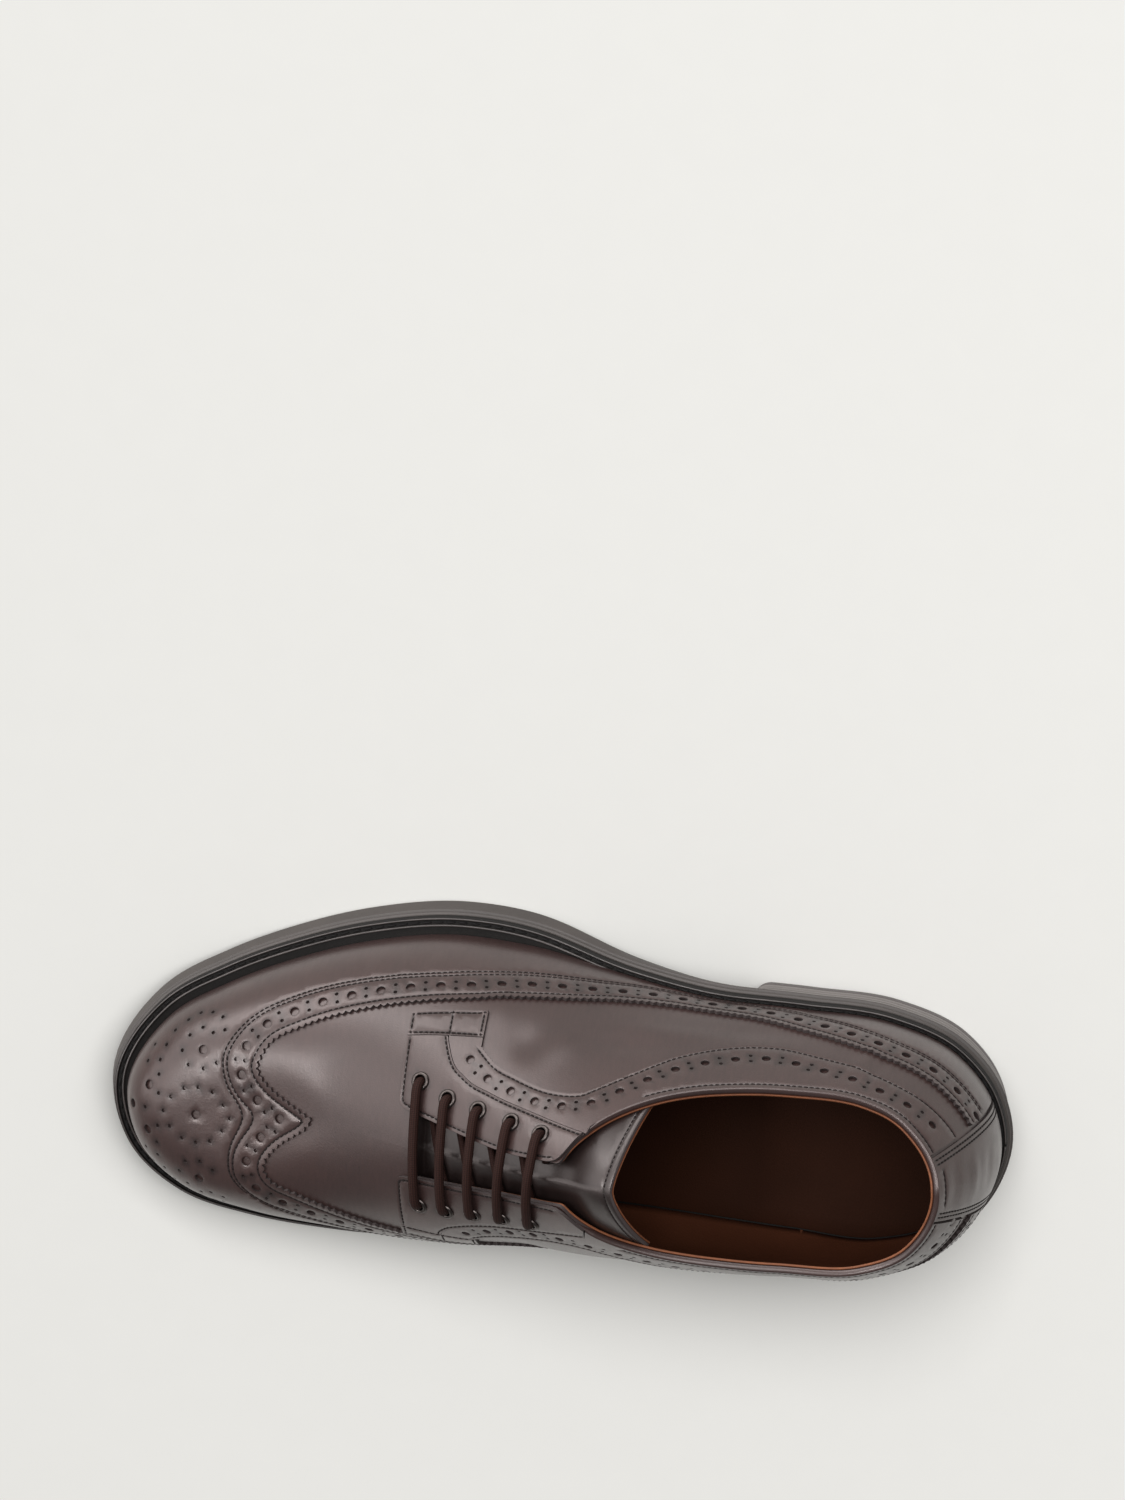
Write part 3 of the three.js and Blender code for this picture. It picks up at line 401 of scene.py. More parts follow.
def bottom_solid(name, rings, shares):
    """Closed body: rings round the feather edge, with a floor and a roof of rungs between the sides."""
    work = bmesh.new()
    whole = shares[0] == 0
    rows = []
    for out, height in rings:
        outer = np.stack(edge_point(-shares, out(feather_point(-shares)[0])), -1)
        inner = np.stack(edge_point(shares, out(feather_point(shares)[0])), -1)
        loop = np.concatenate([outer, inner[::-1]])
        if not whole:
            across_breast = np.linspace(inner[0], outer[0], RUNG_STEPS + 1)[1:]
            loop = np.concatenate([loop, across_breast])
        rows.append(np.column_stack([loop, height(loop[:, 0])]))
    swept(work, rows)
    count = len(shares)
    for row in (rows[0], rows[-1]):
        outer, inner = row[:count], row[count:2 * count][::-1]
        swept(work, [outer + (inner - outer) * t for t in np.linspace(0, 1, RUNG_STEPS + 1)])
    bmesh.ops.remove_doubles(work, verts=work.verts, dist=0.01)
    bmesh.ops.dissolve_degenerate(work, edges=work.edges, dist=0.001)
    return shaded(work, name)


def flare(x):
    return SOLE_FLARE * smooth(x, HEEL_BREAST, TREAD_START)


def level(offset):
    return lambda x: sole_top(x) + offset


# Profile of the sole's side: out beyond the reach and up from the floor, then down from the sole's top
SOLE_FOOT = ((-1.6, 0.0), (-1.0, 0.05), (-0.35, 0.35), (0.0, 1.0))
SOLE_HEAD = (
    (0.7, -2.5), (0.62, -2.25), (0.3, -2.05), (-0.6, -1.9), (-0.7, -1.65), (-0.2, -1.45), (0.0, -1.0),
    (-0.15, -0.45), (-0.7, 0.0),
)
sole_rings = [
    (lambda x, o=o: sole_reach(x) + flare(x) + o, lambda x, h=h: underside(x) + h) for o, h in SOLE_FOOT
]
sole_rings += [(lambda x, o=o: sole_reach(x) + o, level(h)) for o, h in SOLE_HEAD]
PATTERN_DEPTH = 0.0002


def drifting(name, dark, light, roughness, scale, detail=4.0, specular=0.5, tooth=0.0):
    """Material whose colour drifts between two shades, and may stand up where it is light."""
    material, tree, shader = finish_of(name)
    place_in = node(tree, "ShaderNodeTexCoord").outputs["Object"]
    cloud = node(tree, "ShaderNodeTexNoise", {"Vector": place_in, "Scale": scale, "Detail": detail})
    tint = node(tree, "ShaderNodeValToRGB", {"Fac": cloud.outputs["Fac"]})
    tint.color_ramp.elements[0].color = linear(dark)
    tint.color_ramp.elements[1].color = linear(light)
    tree.links.new(tint.outputs["Color"], shader.inputs["Base Color"])
    if tooth:
        bump = node(tree, "ShaderNodeBump",
                    {"Height": cloud.outputs["Fac"], "Strength": tooth, "Distance": PATTERN_DEPTH})
        tree.links.new(bump.outputs["Normal"], shader.inputs["Normal"])
    shader.inputs["Roughness"].default_value = roughness
    shader.inputs["Specular IOR Level"].default_value = specular
    return material, tree, shader, place_in


# Sanded and dressed rubber: dull, with scratches about a fifth of a millimetre apart along the edge
edge_rubber, tree, shader, place_in = drifting("dressed_rubber_edge", "#27221f", "#3a3330", 0.55, scale=60.0)
stretch = node(tree, "ShaderNodeMapping", {"Vector": place_in, "Scale": (150.0, 150.0, 5000.0)})
scratches = node(tree, "ShaderNodeTexNoise",
                 {"Vector": stretch.outputs["Vector"], "Scale": 1.0, "Detail": 3.0})
bump = node(tree, "ShaderNodeBump",
            {"Height": scratches.outputs["Fac"], "Strength": 0.25, "Distance": PATTERN_DEPTH})
tree.links.new(bump.outputs["Normal"], shader.inputs["Normal"])
outsole_mesh = bottom_solid("outsole_edge", sole_rings, sides)
piece("outsole_edge", outsole_mesh, "outsole_rubber", ["outsole"], edge_rubber)

# Heel: leather lifts glued and nailed in a stack, trimmed to one side and dressed in the sole's
# colour, with a rubber top lift that meets the floor. The breast is cut straight with round corners.
HEEL_TAPER, HEEL_CORNER, SOLE_STEP, LIFT_EDGE = 1.8, 6.0, 0.7, 0.35
breast_shares = np.linspace(0.5, 1, 2001)
breast_share = breast_shares[np.argmin(np.abs(feather_point(-breast_shares)[0] - HEEL_BREAST))]
heel_shares = breast_share + (1 - breast_share) * np.linspace(0, 1, 71) ** 1.3


def heel_ring(height, pinch=0.0):
    lower = 1 - height / HEEL_HEIGHT

    def out(x):
        to_breast = np.clip(HEEL_CORNER - (HEEL_BREAST - x), 0, HEEL_CORNER)
        corner = HEEL_CORNER - np.sqrt(HEEL_CORNER ** 2 - to_breast ** 2)
        return WAIST_REACH - SOLE_STEP - HEEL_TAPER * lower - corner - pinch

    return out, lambda x: np.full_like(x, height)


def lifts(name, seams):
    """Stack of lifts between the seams, each with its edges just broken."""
    rings = []
    for low, high in zip(seams, seams[1:]):
        rings += [heel_ring(low, LIFT_EDGE), heel_ring(low + 0.2, 0.06), heel_ring(low + 0.45)]
        rings += [heel_ring(high - 0.45), heel_ring(high - 0.2, 0.06), heel_ring(high, LIFT_EDGE)]
    return bottom_solid(name, rings, heel_shares)


# Trimmed and dyed leather lifts: their layers show as fine level streaks under a soft polish
stack_leather, tree, shader = finish_of("stacked_leather_edge")
place_in = node(tree, "ShaderNodeTexCoord").outputs["Object"]
stretch = node(tree, "ShaderNodeMapping", {"Vector": place_in, "Scale": (12.0, 12.0, 900.0)})
layers = node(tree, "ShaderNodeTexNoise",
              {"Vector": stretch.outputs["Vector"], "Scale": 1.0, "Detail": 4.0})
tint = node(tree, "ShaderNodeValToRGB", {"Fac": layers.outputs["Fac"]})
tint.color_ramp.elements[0].position, tint.color_ramp.elements[1].position = 0.3, 0.72
tint.color_ramp.elements[0].color = linear("#3c3533")
tint.color_ramp.elements[1].color = linear("#625a57")
bump = node(tree, "ShaderNodeBump", {"Height": layers.outputs["Fac"], "Strength": 0.35, "Distance": 0.0003})
tree.links.new(tint.outputs["Color"], shader.inputs["Base Color"])
tree.links.new(bump.outputs["Normal"], shader.inputs["Normal"])
shader.inputs["Roughness"].default_value = 0.45
stack_mesh = lifts("heel_stack", np.linspace(TOP_LIFT + GAP, HEEL_HEIGHT - GAP, 4))
piece("heel_stack", stack_mesh, "heel_leather", ["heel_block"], stack_leather)

# Moulded rubber: matt, with a grit of half a millimetre
tread_rubber = drifting("moulded_rubber_lift", "#3a3433", "#4a4341", 0.6,
                        scale=1800.0, detail=3.0, tooth=0.2)[0]
piece("top_lift", lifts("top_lift", [0.0, TOP_LIFT]), "top_lift_rubber", ["heel_top_lift"], tread_rubber)

# Welt: a strip of waxed, near-black leather sewn all the way round, with a raised outer rim, a
# channel for the stitches and a fine bead beside the upper.
WELT_PROFILE = ((-1.0, -WELT_THICKNESS), (-1.0, 0.0))
WELT_FROM_EDGE = (
    (-4.6, 0.0), (-4.1, 0.05), (-3.85, 0.3), (-3.6, 0.32), (-3.4, 0.1), (-3.2, -0.12), (-2.0, -0.15),
    (-1.85, 0.2), (-1.7, 0.38), (-1.15, 0.4), (-0.95, 0.2), (-0.9, -0.3), (-0.95, -1.9), (-0.9, -2.1),
    (-0.95, -WELT_THICKNESS),
)
WELT_LEVEL = WELT_THICKNESS + GAP
work = bmesh.new()
rows = []
for out, height in WELT_PROFILE:
    x, y = edge_point(around, np.full_like(around, out))
    rows.append(np.column_stack([x, y, sole_top(x) + WELT_LEVEL + height]))
for out, height in WELT_FROM_EDGE:
    x, y = edge_point(around, np.maximum(sole_reach(feather_point(around)[0]) + out, -0.9))
    rows.append(np.column_stack([x, y, sole_top(x) + WELT_LEVEL + height]))
swept(work, rows + rows[:1])
bmesh.ops.remove_doubles(work, verts=work.verts, dist=0.005)
# Waxed leather: nearly black, with little shine. The rim and bead lines are polished and painted lighter, a
# painted highlight along them
waxed_welt = drifting("waxed_welt_leather", "#0a0908", "#151211", 0.62,
                      scale=700.0, detail=5.0, specular=0.15, tooth=0.4)[0]
welt_highlight = drifting("welt_edge_painted_highlight", "#1b1817", "#4a4341", 0.36, scale=120.0)[0]
piece("welt_strip", shaded(work, "welt_strip"), "welt_leather", ["welt"], waxed_welt)

# Insole: a cognac leather board with a glued sock, seen down through the collar.
INSOLE_RINGS = ((-0.9, 0.3), (-0.3, 0.5), (-0.15, 0.9), (-0.15, 3.6), (-0.4, 4.1), (-1.2, 4.3))
insole_rings = [(lambda x, o=o: np.full_like(x, o), level(h)) for o, h in INSOLE_RINGS]
# Vegetable-tanned leather: warm brown and matt, with pores two thirds of a millimetre apart
sock_leather, tree, shader, place_in = drifting(
    "vegetable_tanned_sock", "#1c0c05", "#2a140a", 0.7, scale=35.0, detail=5.0, specular=0.06,
)
pores = node(tree, "ShaderNodeTexVoronoi", {"Vector": place_in, "Scale": 1500.0})
bump = node(tree, "ShaderNodeBump",
            {"Height": pores.outputs["Distance"], "Strength": 0.2, "Distance": PATTERN_DEPTH})
tree.links.new(bump.outputs["Normal"], shader.inputs["Normal"])
insole_mesh = bottom_solid("insole_sock", insole_rings, sides)
piece("insole_sock", insole_mesh, "insole_leather", ["insole"], sock_leather)

# Upper: vamp and quarters of one calf skin, cut flat, closed at the heel and drawn over the last, with
# a cognac lining inside. The chart of the last is unrolled rib by rib from the ridge, so that what is
# cut in it keeps its size on the foot.
LINING_OUT, UPPER_OUT, OVERLAY_OUT = 0.7, 1.9, 3.05
LINING_THICKNESS, CALF_THICKNESS, OVERLAY_THICKNESS = 0.7, 1.15, 1.1
MESH_SPACING, CUT_STEP, SEAM_STEP = 2.0, 0.9, 0.8
CHART_S, CHART_UP = np.linspace(-1.15, 1.15, 461), np.linspace(0, 1, 81)
chart_points = lasted(CHART_S[:, None], CHART_UP[None, :], UPPER_OUT)
rib_steps = np.linalg.norm(np.diff(chart_points, axis=1), axis=2)
from_ridge = np.cumsum(rib_steps[:, ::-1], axis=1)[:, ::-1]
from_ridge = np.concatenate([from_ridge, np.zeros((len(CHART_S), 1))], axis=1)


def flat(chart):
    """Place of chart points on the unrolled last, in millimetres."""
    chart = np.atleast_2d(chart)
    _, _, top_x, top_y, _, ex, ey = rib_ends(chart[:, 0])
    i = np.clip((chart[:, 0] - CHART_S[0]) / (CHART_S[1] - CHART_S[0]), 0, len(CHART_S) - 1.001)
    j = np.clip(chart[:, 1] / (CHART_UP[1] - CHART_UP[0]), 0, len(CHART_UP) - 1.001)
    a, b = i.astype(int), j.astype(int)
    u, v = i - a, j - b
    low = from_ridge[a, b] * (1 - u) + from_ridge[a + 1, b] * u
    high = from_ridge[a, b + 1] * (1 - u) + from_ridge[a + 1, b + 1] * u
    distance = low * (1 - v) + high * v
    return np.stack([top_x - ex * distance, top_y - ey * distance], -1)


def gaps(line, out=UPPER_OUT):
    """Distance along a chart line, on the leather."""
    points = lasted(line[:, 0], line[:, 1], out)
    return np.concatenate([[0], np.cumsum(np.linalg.norm(np.diff(points, axis=0), axis=1))])


def spaced(line, pitch):
    """Chart line with its points a pitch apart on the leather."""
    along = gaps(line)
    at = np.linspace(0, along[-1], max(1, round(along[-1] / pitch)) + 1)
    return np.stack([np.interp(at, along, line[:, 0]), np.interp(at, along, line[:, 1])], -1)


def grips(chart, out=OVERLAY_OUT):
    """How the leather lies at chart points: place, outward normal, and the slopes along s and up."""
    s, up = chart[:, 0], chart[:, 1]
    high, low = np.minimum(up + STEP, 1), np.maximum(up - STEP, 0)
    along_s = (lasted(s + STEP, up, out) - lasted(s - STEP, up, out)) / (2 * STEP)
    along_up = (lasted(s, high, out) - lasted(s, low, out)) / (high - low)[:, None]
    return lasted(s, up, out), last_normal(s, up), along_s, along_up


def walked(chart, ways):
    """Chart points moved by millimetre steps that lie on the leather."""
    _, _, along_s, along_up = grips(chart)
    ss, uu = (along_s ** 2).sum(1), (along_up ** 2).sum(1)
    su = (along_s * along_up).sum(1)
    ws, wu = (along_s * ways).sum(1), (along_up * ways).sum(1)
    det = ss * uu - su ** 2
    moved = chart + np.stack([(uu * ws - su * wu) / det, (ss * wu - su * ws) / det], -1)
    moved[:, 1] = np.clip(moved[:, 1], 0, 1)
    return moved


def sidestep(line, by, out=OVERLAY_OUT):
    """Chart line moved to the left of its run, seen from outside the shoe."""
    points, normal, _, _ = grips(line, out)
    run = unit(np.gradient(points, axis=0))
    return walked(line, np.cross(normal, run) * np.broadcast_to(by, len(line))[:, None])


def circles(holes, grow=0.0):
    """Round holes in the leather, as chart points."""
    centres = np.array([hole[:2] for hole in holes])
    _, normal, along_s, _ = grips(centres)
    first = unit(along_s - normal * (along_s * normal).sum(1, keepdims=True))
    second = np.cross(normal, first)
    owner = np.repeat(np.arange(len(holes)), [hole[3] for hole in holes])
    turn = np.concatenate([np.linspace(0, 2 * np.pi, hole[3], endpoint=False) for hole in holes])[:, None]
    radius = np.array([hole[2] + grow for hole in holes])[owner, None]
    moved = walked(centres[owner], radius * (np.cos(turn) * first[owner] + np.sin(turn) * second[owner]))
    return [moved[owner == k] for k in range(len(holes))]


def inside(points, loop):
    """Which flat points lie in a flat loop."""
    result = np.zeros(len(points), bool)
    for a, b in zip(loop, np.roll(loop, -1, axis=0)):
        if a[1] == b[1]:
            continue
        spans = (a[1] > points[:, 1]) != (b[1] > points[:, 1])
        crossing = a[0] + (points[:, 1] - a[1]) * (b[0] - a[0]) / (b[1] - a[1])
        result ^= spans & (points[:, 0] < crossing)
    return result


# Soft troughs and ridges: s, up, half length, half width (mm), turn (degrees), height (mm)
CREASES = np.array([
    (-0.475, 0.52, 8.0, 5.0, 70.0, -1.1), (-0.51, 0.485, 10.0, 4.5, 62.0, 0.75),
    (-0.44, 0.43, 9.0, 5.0, 80.0, 0.75), (-0.57, 0.4, 12.0, 4.5, 20.0, -0.5),
    (-0.62, 0.3, 14.0, 5.0, 12.0, 0.45), (-0.82, 0.33, 9.0, 2.6, 60.0, 0.45),
    (-0.838, 0.365, 9.0, 2.2, 60.0, -0.4), (0.475, 0.4, 12.0, 6.0, -60.0, -0.7),
    (0.55, 0.35, 14.0, 5.0, -20.0, 0.4), (-0.29, 0.36, 5.0, 1.3, 75.0, -0.16),
    (-0.305, 0.35, 5.0, 1.3, 85.0, 0.16), (-0.32, 0.335, 5.5, 1.3, 80.0, -0.16),
    (-0.337, 0.325, 5.0, 1.3, 86.0, 0.16), (-0.353, 0.31, 5.5, 1.3, 82.0, -0.16),
    (-0.37, 0.295, 5.0, 1.3, 85.0, 0.16), (0.2, 0.75, 14.0, 7.0, -30.0, -0.25),
    (-0.25, 0.8, 16.0, 8.0, 30.0, -0.25), (-0.2, 0.86, 10.0, 5.0, -25.0, 0.2),
    (1.0, 0.66, 9.0, 2.6, 90.0, 0.45), (1.0, 0.54, 10.0, 2.6, 90.0, -0.5),
    (1.0, 0.42, 10.0, 2.8, 90.0, 0.55), (1.0, 0.3, 9.0, 2.8, 90.0, -0.4),
    (0.99, 0.19, 9.0, 2.6, 86.0, 0.35), (-0.7, 0.22, 16.0, 5.0, 8.0, -0.4),
])


def relief(chart):
    """Height of the creases at chart points."""
    here = flat(chart)
    total = np.zeros(len(here))
    for s, up, length, width, turn, height in CREASES:
        away = here - flat((s, up))
        c, d = math.cos(math.radians(turn)), math.sin(math.radians(turn))
        along, side = away[:, 0] * c + away[:, 1] * d, away[:, 1] * c - away[:, 0] * d
        total += height * np.exp(-(along / length) ** 2 - (side / width) ** 2)
    return total


def cloud_points(spacing):
    """Chart points evenly spread over the whole last."""
    made = []
    rows = np.linspace(0, 1, round(95 / spacing))
    for k, up in enumerate(rows):
        line = np.stack([CHART_S, np.full(len(CHART_S), up)], -1)
        line = spaced(line[np.abs(line[:, 0]) <= 1.1], spacing)
        made.append((line[:-1] + line[1:]) / 2 if k % 2 else line)
    return np.concatenate(made)


fill_points = cloud_points(MESH_SPACING)
fill_flat = flat(fill_points)
RIM_DROP, RIM_WIDTH, GROOVE_DEPTH, GROOVE_HALF, GROOVE_STEP = 0.14, 0.4, 0.26, 0.55, 1.1
NEAREST = 0.35


def cut_leather(name, outline, out, thickness, holes=(), window=None, grooves=(), shape=relief):
    """Leather cut along an outline in the chart, with punched holes, a window and pressed stitch lines."""
    chart, sink, edges, owner = [], [], [], []

    def loop(points, depth, mark):
        start, count = len(chart), len(points)
        chart.extend(points)
        sink.extend([depth] * count)
        owner.extend([mark] * count)
        edges.extend((start + i, start + (i + 1) % count) for i in range(count))

    loop(outline, 0.0, 0)
    if window is not None:
        loop(window, 0.0, 1)
    for k, ring in enumerate(circles(holes) if len(holes) else ()):
        loop(ring, RIM_DROP, k + 2)
    bounds = [flat(outline)] + ([flat(window)] if window is not None else [])
    centres = flat(np.array([h[:2] for h in holes])) if len(holes) else np.zeros((0, 2))
    radii = np.array([h[2] for h in holes])

    def accepted(points, taken, room, clear):
        here = flat(points)
        keep = inside(here, bounds[0])
        for opening in bounds[1:]:
            keep &= ~inside(here, opening)
        for centre, radius in zip(centres, radii):
            keep &= ((here - centre) ** 2).sum(1) > (radius + clear) ** 2
        tree = kdtree.KDTree(len(taken))
        for i, point in enumerate(flat(np.array(taken))):
            tree.insert((*point, 0), i)
        tree.balance()
        for i in np.flatnonzero(keep):
            keep[i] = tree.find((*here[i], 0))[2] > room
        return keep

    loose, depths = [np.zeros((0, 2))], [np.zeros(0)]
    big = [hole for hole in holes if hole[3] > 8]
    for ring in circles(big, RIM_WIDTH) if big else ():
        loose.append(ring)
        depths.append(np.zeros(len(ring)))
    for line in grooves:
        for by, depth in ((0, GROOVE_DEPTH), (-GROOVE_HALF, 0.0), (GROOVE_HALF, 0.0)):
            row = spaced(line, GROOVE_STEP)
            row = sidestep(row, by) if by else row
            loose.append(row)
            depths.append(np.full(len(row), depth))
    loose, depths = np.concatenate(loose), np.concatenate(depths)
    if len(loose):
        cells = np.round(flat(loose) / NEAREST).astype(int)
        _, first = np.unique(cells, axis=0, return_index=True)
        loose, depths = loose[np.sort(first)], depths[np.sort(first)]
        keep = accepted(loose, chart, 0.25, 0.2)
        chart.extend(loose[keep])
        sink.extend(depths[keep])
    near_box = np.all((fill_flat > bounds[0].min(0)) & (fill_flat < bounds[0].max(0)), axis=1)
    fill = fill_points[near_box]
    keep = accepted(fill, chart, 0.45 * MESH_SPACING, 0.5)
    chart.extend(fill[keep])
    sink.extend([0.0] * int(keep.sum()))
    owner.extend([-1] * (len(chart) - len(owner)))

    chart, sink, owner = np.array(chart), np.array(sink), np.array(owner)
    places = flat(chart)
    _, _, faces, origin, _, _ = geometry.delaunay_2d_cdt([Vector(p) for p in places], edges, [], 1, 1e-4)
    origin = np.array([ids[0] if ids else -1 for ids in origin])
    faces = np.array([f for f in faces if len(f) == 3])
    faces = faces[(origin[faces] >= 0).all(1)]
    faces = origin[faces]
    marks = owner[faces]
    faces = faces[~((marks[:, 0] >= 2) & (marks[:, 0] == marks[:, 1]) & (marks[:, 1] == marks[:, 2]))]
    if window is not None:
        faces = faces[~inside(places[faces].mean(1), bounds[1])]

    height = out - sink + (shape(chart) if shape else 0)
    points = lasted(chart[:, 0], chart[:, 1], height)
    facing = np.cross(points[faces[:, 1]] - points[faces[:, 0]], points[faces[:, 2]] - points[faces[:, 0]])
    normals = last_normal(chart[:, 0], chart[:, 1])[faces[:, 0]]
    wrong = (facing * normals).sum(1) < 0
    faces[wrong] = faces[wrong][:, ::-1]
    used, faces = np.unique(faces, return_inverse=True)
    mesh = bpy.data.meshes.new(name)
    mesh.from_pydata(metres(points[used]).tolist(), [], faces.reshape(-1, 3).tolist())
    mesh.polygons.foreach_set("use_smooth", [True] * len(mesh.polygons))
    # Painted shade: how deep each point is sunk, in a stitch line or at a hole's rim, darkens the calf there
    painted_sunk_shade = mesh.attributes.new("painted_sunk_shade", "FLOAT", "POINT")
    painted_sunk_shade.data.foreach_set("value", np.clip(sink[used] / GROOVE_DEPTH, 0, 1))
    return mesh, thickness


def leather_piece(name, cut, slot, replaced, *materials, edge=0.22):
    """Piece of leather with its thickness, its raw edge and a slightly rounded cut."""
    mesh, thickness = cut
    made = piece(name, mesh, slot, replaced, *materials)
    wall = made.modifiers.new("thickness", "SOLIDIFY")
    wall.thickness = thickness / 1000
    wall.offset = -1
    wall.material_offset_rim = len(materials) - 1
    if edge:
        rounding = made.modifiers.new("cut", "BEVEL")
        rounding.width = edge / 1000
        rounding.segments = 2
        rounding.limit_method = "ANGLE"
        rounding.angle_limit = math.radians(50)
        rounding.harden_normals = True
    return made


# Painted shade: where the leather is sunk, in the pressed stitch lines and at the rims of the punched holes,
# its colour is darkened nearly to black as shade falls there; the warm wheel that marks the seams darkens it
# too
GROOVE_SHADE = "#0c0706"


def calf(name, dark, light, roughness, grain=0.35):
    """Burnished calf: aniline-dyed, so its colour drifts in soft clouds, polished to a deep low gloss, with
    fine brush lines down the sides, a grain of about half a millimetre, and painted shade where it is sunk."""
    material, tree, shader = finish_of(name)
    place_in = node(tree, "ShaderNodeTexCoord").outputs["Object"]
    cloud = node(tree, "ShaderNodeTexNoise",
                 {"Vector": place_in, "Scale": 22.0, "Detail": 4.0, "Roughness": 0.55})
    brushed = node(tree, "ShaderNodeMapping", {"Vector": place_in, "Scale": (900.0, 260.0, 160.0)})
    streaks = node(tree, "ShaderNodeTexNoise",
                   {"Vector": brushed.outputs["Vector"], "Scale": 1.0, "Detail": 3.0})
    drift = node(tree, "ShaderNodeMath", {0: cloud.outputs["Fac"], 1: 0.65}, operation="MULTIPLY")
    both = node(tree, "ShaderNodeMath", {0: streaks.outputs["Fac"], 1: 0.35, 2: drift.outputs["Value"]},
                operation="MULTIPLY_ADD")
    # Painted shade: the sunk depth pushes the colour down towards the near-black shade at the ramp's foot
    pressed = node(tree, "ShaderNodeAttribute", attribute_name="painted_sunk_shade")
    toned = node(tree, "ShaderNodeMath", {0: pressed.outputs["Fac"], 1: -0.6, 2: both.outputs["Value"]},
                 operation="MULTIPLY_ADD")
    tint = node(tree, "ShaderNodeValToRGB", {"Fac": toned.outputs["Value"]})
    tint.color_ramp.elements[0].position, tint.color_ramp.elements[1].position = 0.28, 0.72
    tint.color_ramp.elements[0].color = linear(dark)
    tint.color_ramp.elements[1].color = linear(light)
    tint.color_ramp.elements.new(0.02).color = linear(GROOVE_SHADE)
    pebble = node(tree, "ShaderNodeTexVoronoi", {"Vector": place_in, "Scale": 1700.0}, feature="SMOOTH_F1")
    fine = node(tree, "ShaderNodeTexNoise", {"Vector": place_in, "Scale": 2600.0, "Detail": 3.0})
    grain_sum = node(tree, "ShaderNodeMath", {0: pebble.outputs["Distance"], 1: 0.7, 2: fine.outputs["Fac"]},
                     operation="MULTIPLY_ADD")
    lines = node(tree, "ShaderNodeMath", {0: streaks.outputs["Fac"], 1: 0.8, 2: grain_sum.outputs["Value"]},
                 operation="MULTIPLY_ADD")
    bump = node(tree, "ShaderNodeBump",
                {"Height": lines.outputs["Value"], "Strength": grain, "Distance": PATTERN_DEPTH / 2})
    gloss = node(tree, "ShaderNodeMapRange", {
        "Value": both.outputs["Value"], "From Min": 0.3, "From Max": 0.7,
        "To Min": roughness + 0.06, "To Max": roughness - 0.05,
    })
    tree.links.new(tint.outputs["Color"], shader.inputs["Base Color"])
    tree.links.new(bump.outputs["Normal"], shader.inputs["Normal"])
    tree.links.new(gloss.outputs["Result"], shader.inputs["Roughness"])
    shader.inputs["Specular Tint"].default_value = (1.0, 0.87, 0.84, 1)
    shader.inputs["Coat Weight"].default_value = 0.25
    shader.inputs["Coat Roughness"].default_value = 0.3
    return material


upper_calf = calf("burnished_calf", "#221716", "#342523", 0.35)
overlay_calf = calf("burnished_calf_overlay", "#211615", "#362725", 0.33)
# Cut calf, dyed by hand: dark fibre with no shine
raw_edge = drifting("dyed_raw_edge", "#1e1716", "#332827", 0.75, scale=2200.0, detail=3.0)[0]
# Vegetable-tanned lining: warm brown, matt and porous, and lighter where it is cut
lining_leather, tree, shader, place_in = drifting(
    "vegetable_tanned_lining", "#371c10", "#48281a", 0.7, scale=40.0, detail=5.0, specular=0.06,
)
pores = node(tree, "ShaderNodeTexVoronoi", {"Vector": place_in, "Scale": 1300.0})
bump = node(tree, "ShaderNodeBump",
            {"Height": pores.outputs["Distance"], "Strength": 0.2, "Distance": PATTERN_DEPTH})
tree.links.new(bump.outputs["Normal"], shader.inputs["Normal"])
lining_edge = drifting("cut_lining_edge", "#4a240f", "#7a4420", 0.7, scale=600.0)[0]

# Cut lines: share from toe to heel back, then shares of the way up on the outer and the inner side
THROAT_START, VAMP_END, FACING_BACK, TAB_BACK = 0.353, 0.371, 0.396, 0.431
THROAT_EDGE = np.array([
    (0.353, 0.874, 0.866), (0.386, 0.888, 0.868), (0.425, 0.905, 0.87), (0.475, 0.92, 0.876),
    (0.518, 0.912, 0.876), (0.6, 0.93, 0.885),
])
COLLAR = np.array([
    (0.5, 1.44), (0.54, 1.347), (0.58, 1.267), (0.64, 1.187), (0.7, 1.147), (0.78, 1.14), (0.86, 1.18),
    (0.93, 1.24), (1.0, 1.293),
])


def edge_of(rows, s, columns=(1, 2)):
    s = wrap(s)
    outer, inner = (curve(rows[:, 0], rows[:, k], np.abs(s)) for k in columns)
    return np.where(s < 0, outer, inner)


def level_at(s, height):
    low, high = np.zeros_like(s), np.ones_like(s)
    for _ in range(24):
        middle = (low + high) / 2
        below = last_point(s, middle)[:, 2] < height
        low, high = np.where(below, middle, low), np.where(below, high, middle)
    return (low + high) / 2


def open_edge(s):
    s = wrap(s)
    height = curve(COLLAR[:, 0], COLLAR[:, 1], np.abs(s)) * INSTEP_HEIGHT
    on_collar = np.minimum(edge_of(THROAT_EDGE, s), level_at(s, height))
    return np.where(np.abs(s) < COLLAR[0, 0], edge_of(THROAT_EDGE, s), on_collar)


def along(start, stop, line, count=400):
    """Chart line that follows a cut line."""
    s = np.linspace(start, stop, count)
    return np.stack([s, line(s) if callable(line) else edge_of(line, s)], -1)


def rib_line(s, low, high, count=60):
    return np.stack([np.full(count, s), np.linspace(low, high, count)], -1)


def rounded(line, smoothing=5):
    """Chart line with its sharp corners eased."""
    kernel = np.ones(2 * smoothing + 1) / (2 * smoothing + 1)
    padded = np.concatenate([np.repeat(line[:1], smoothing, 0), line, np.repeat(line[-1:], smoothing, 0)])
    return np.stack([np.convolve(padded[:, k], kernel, "valid") for k in (0, 1)], -1)


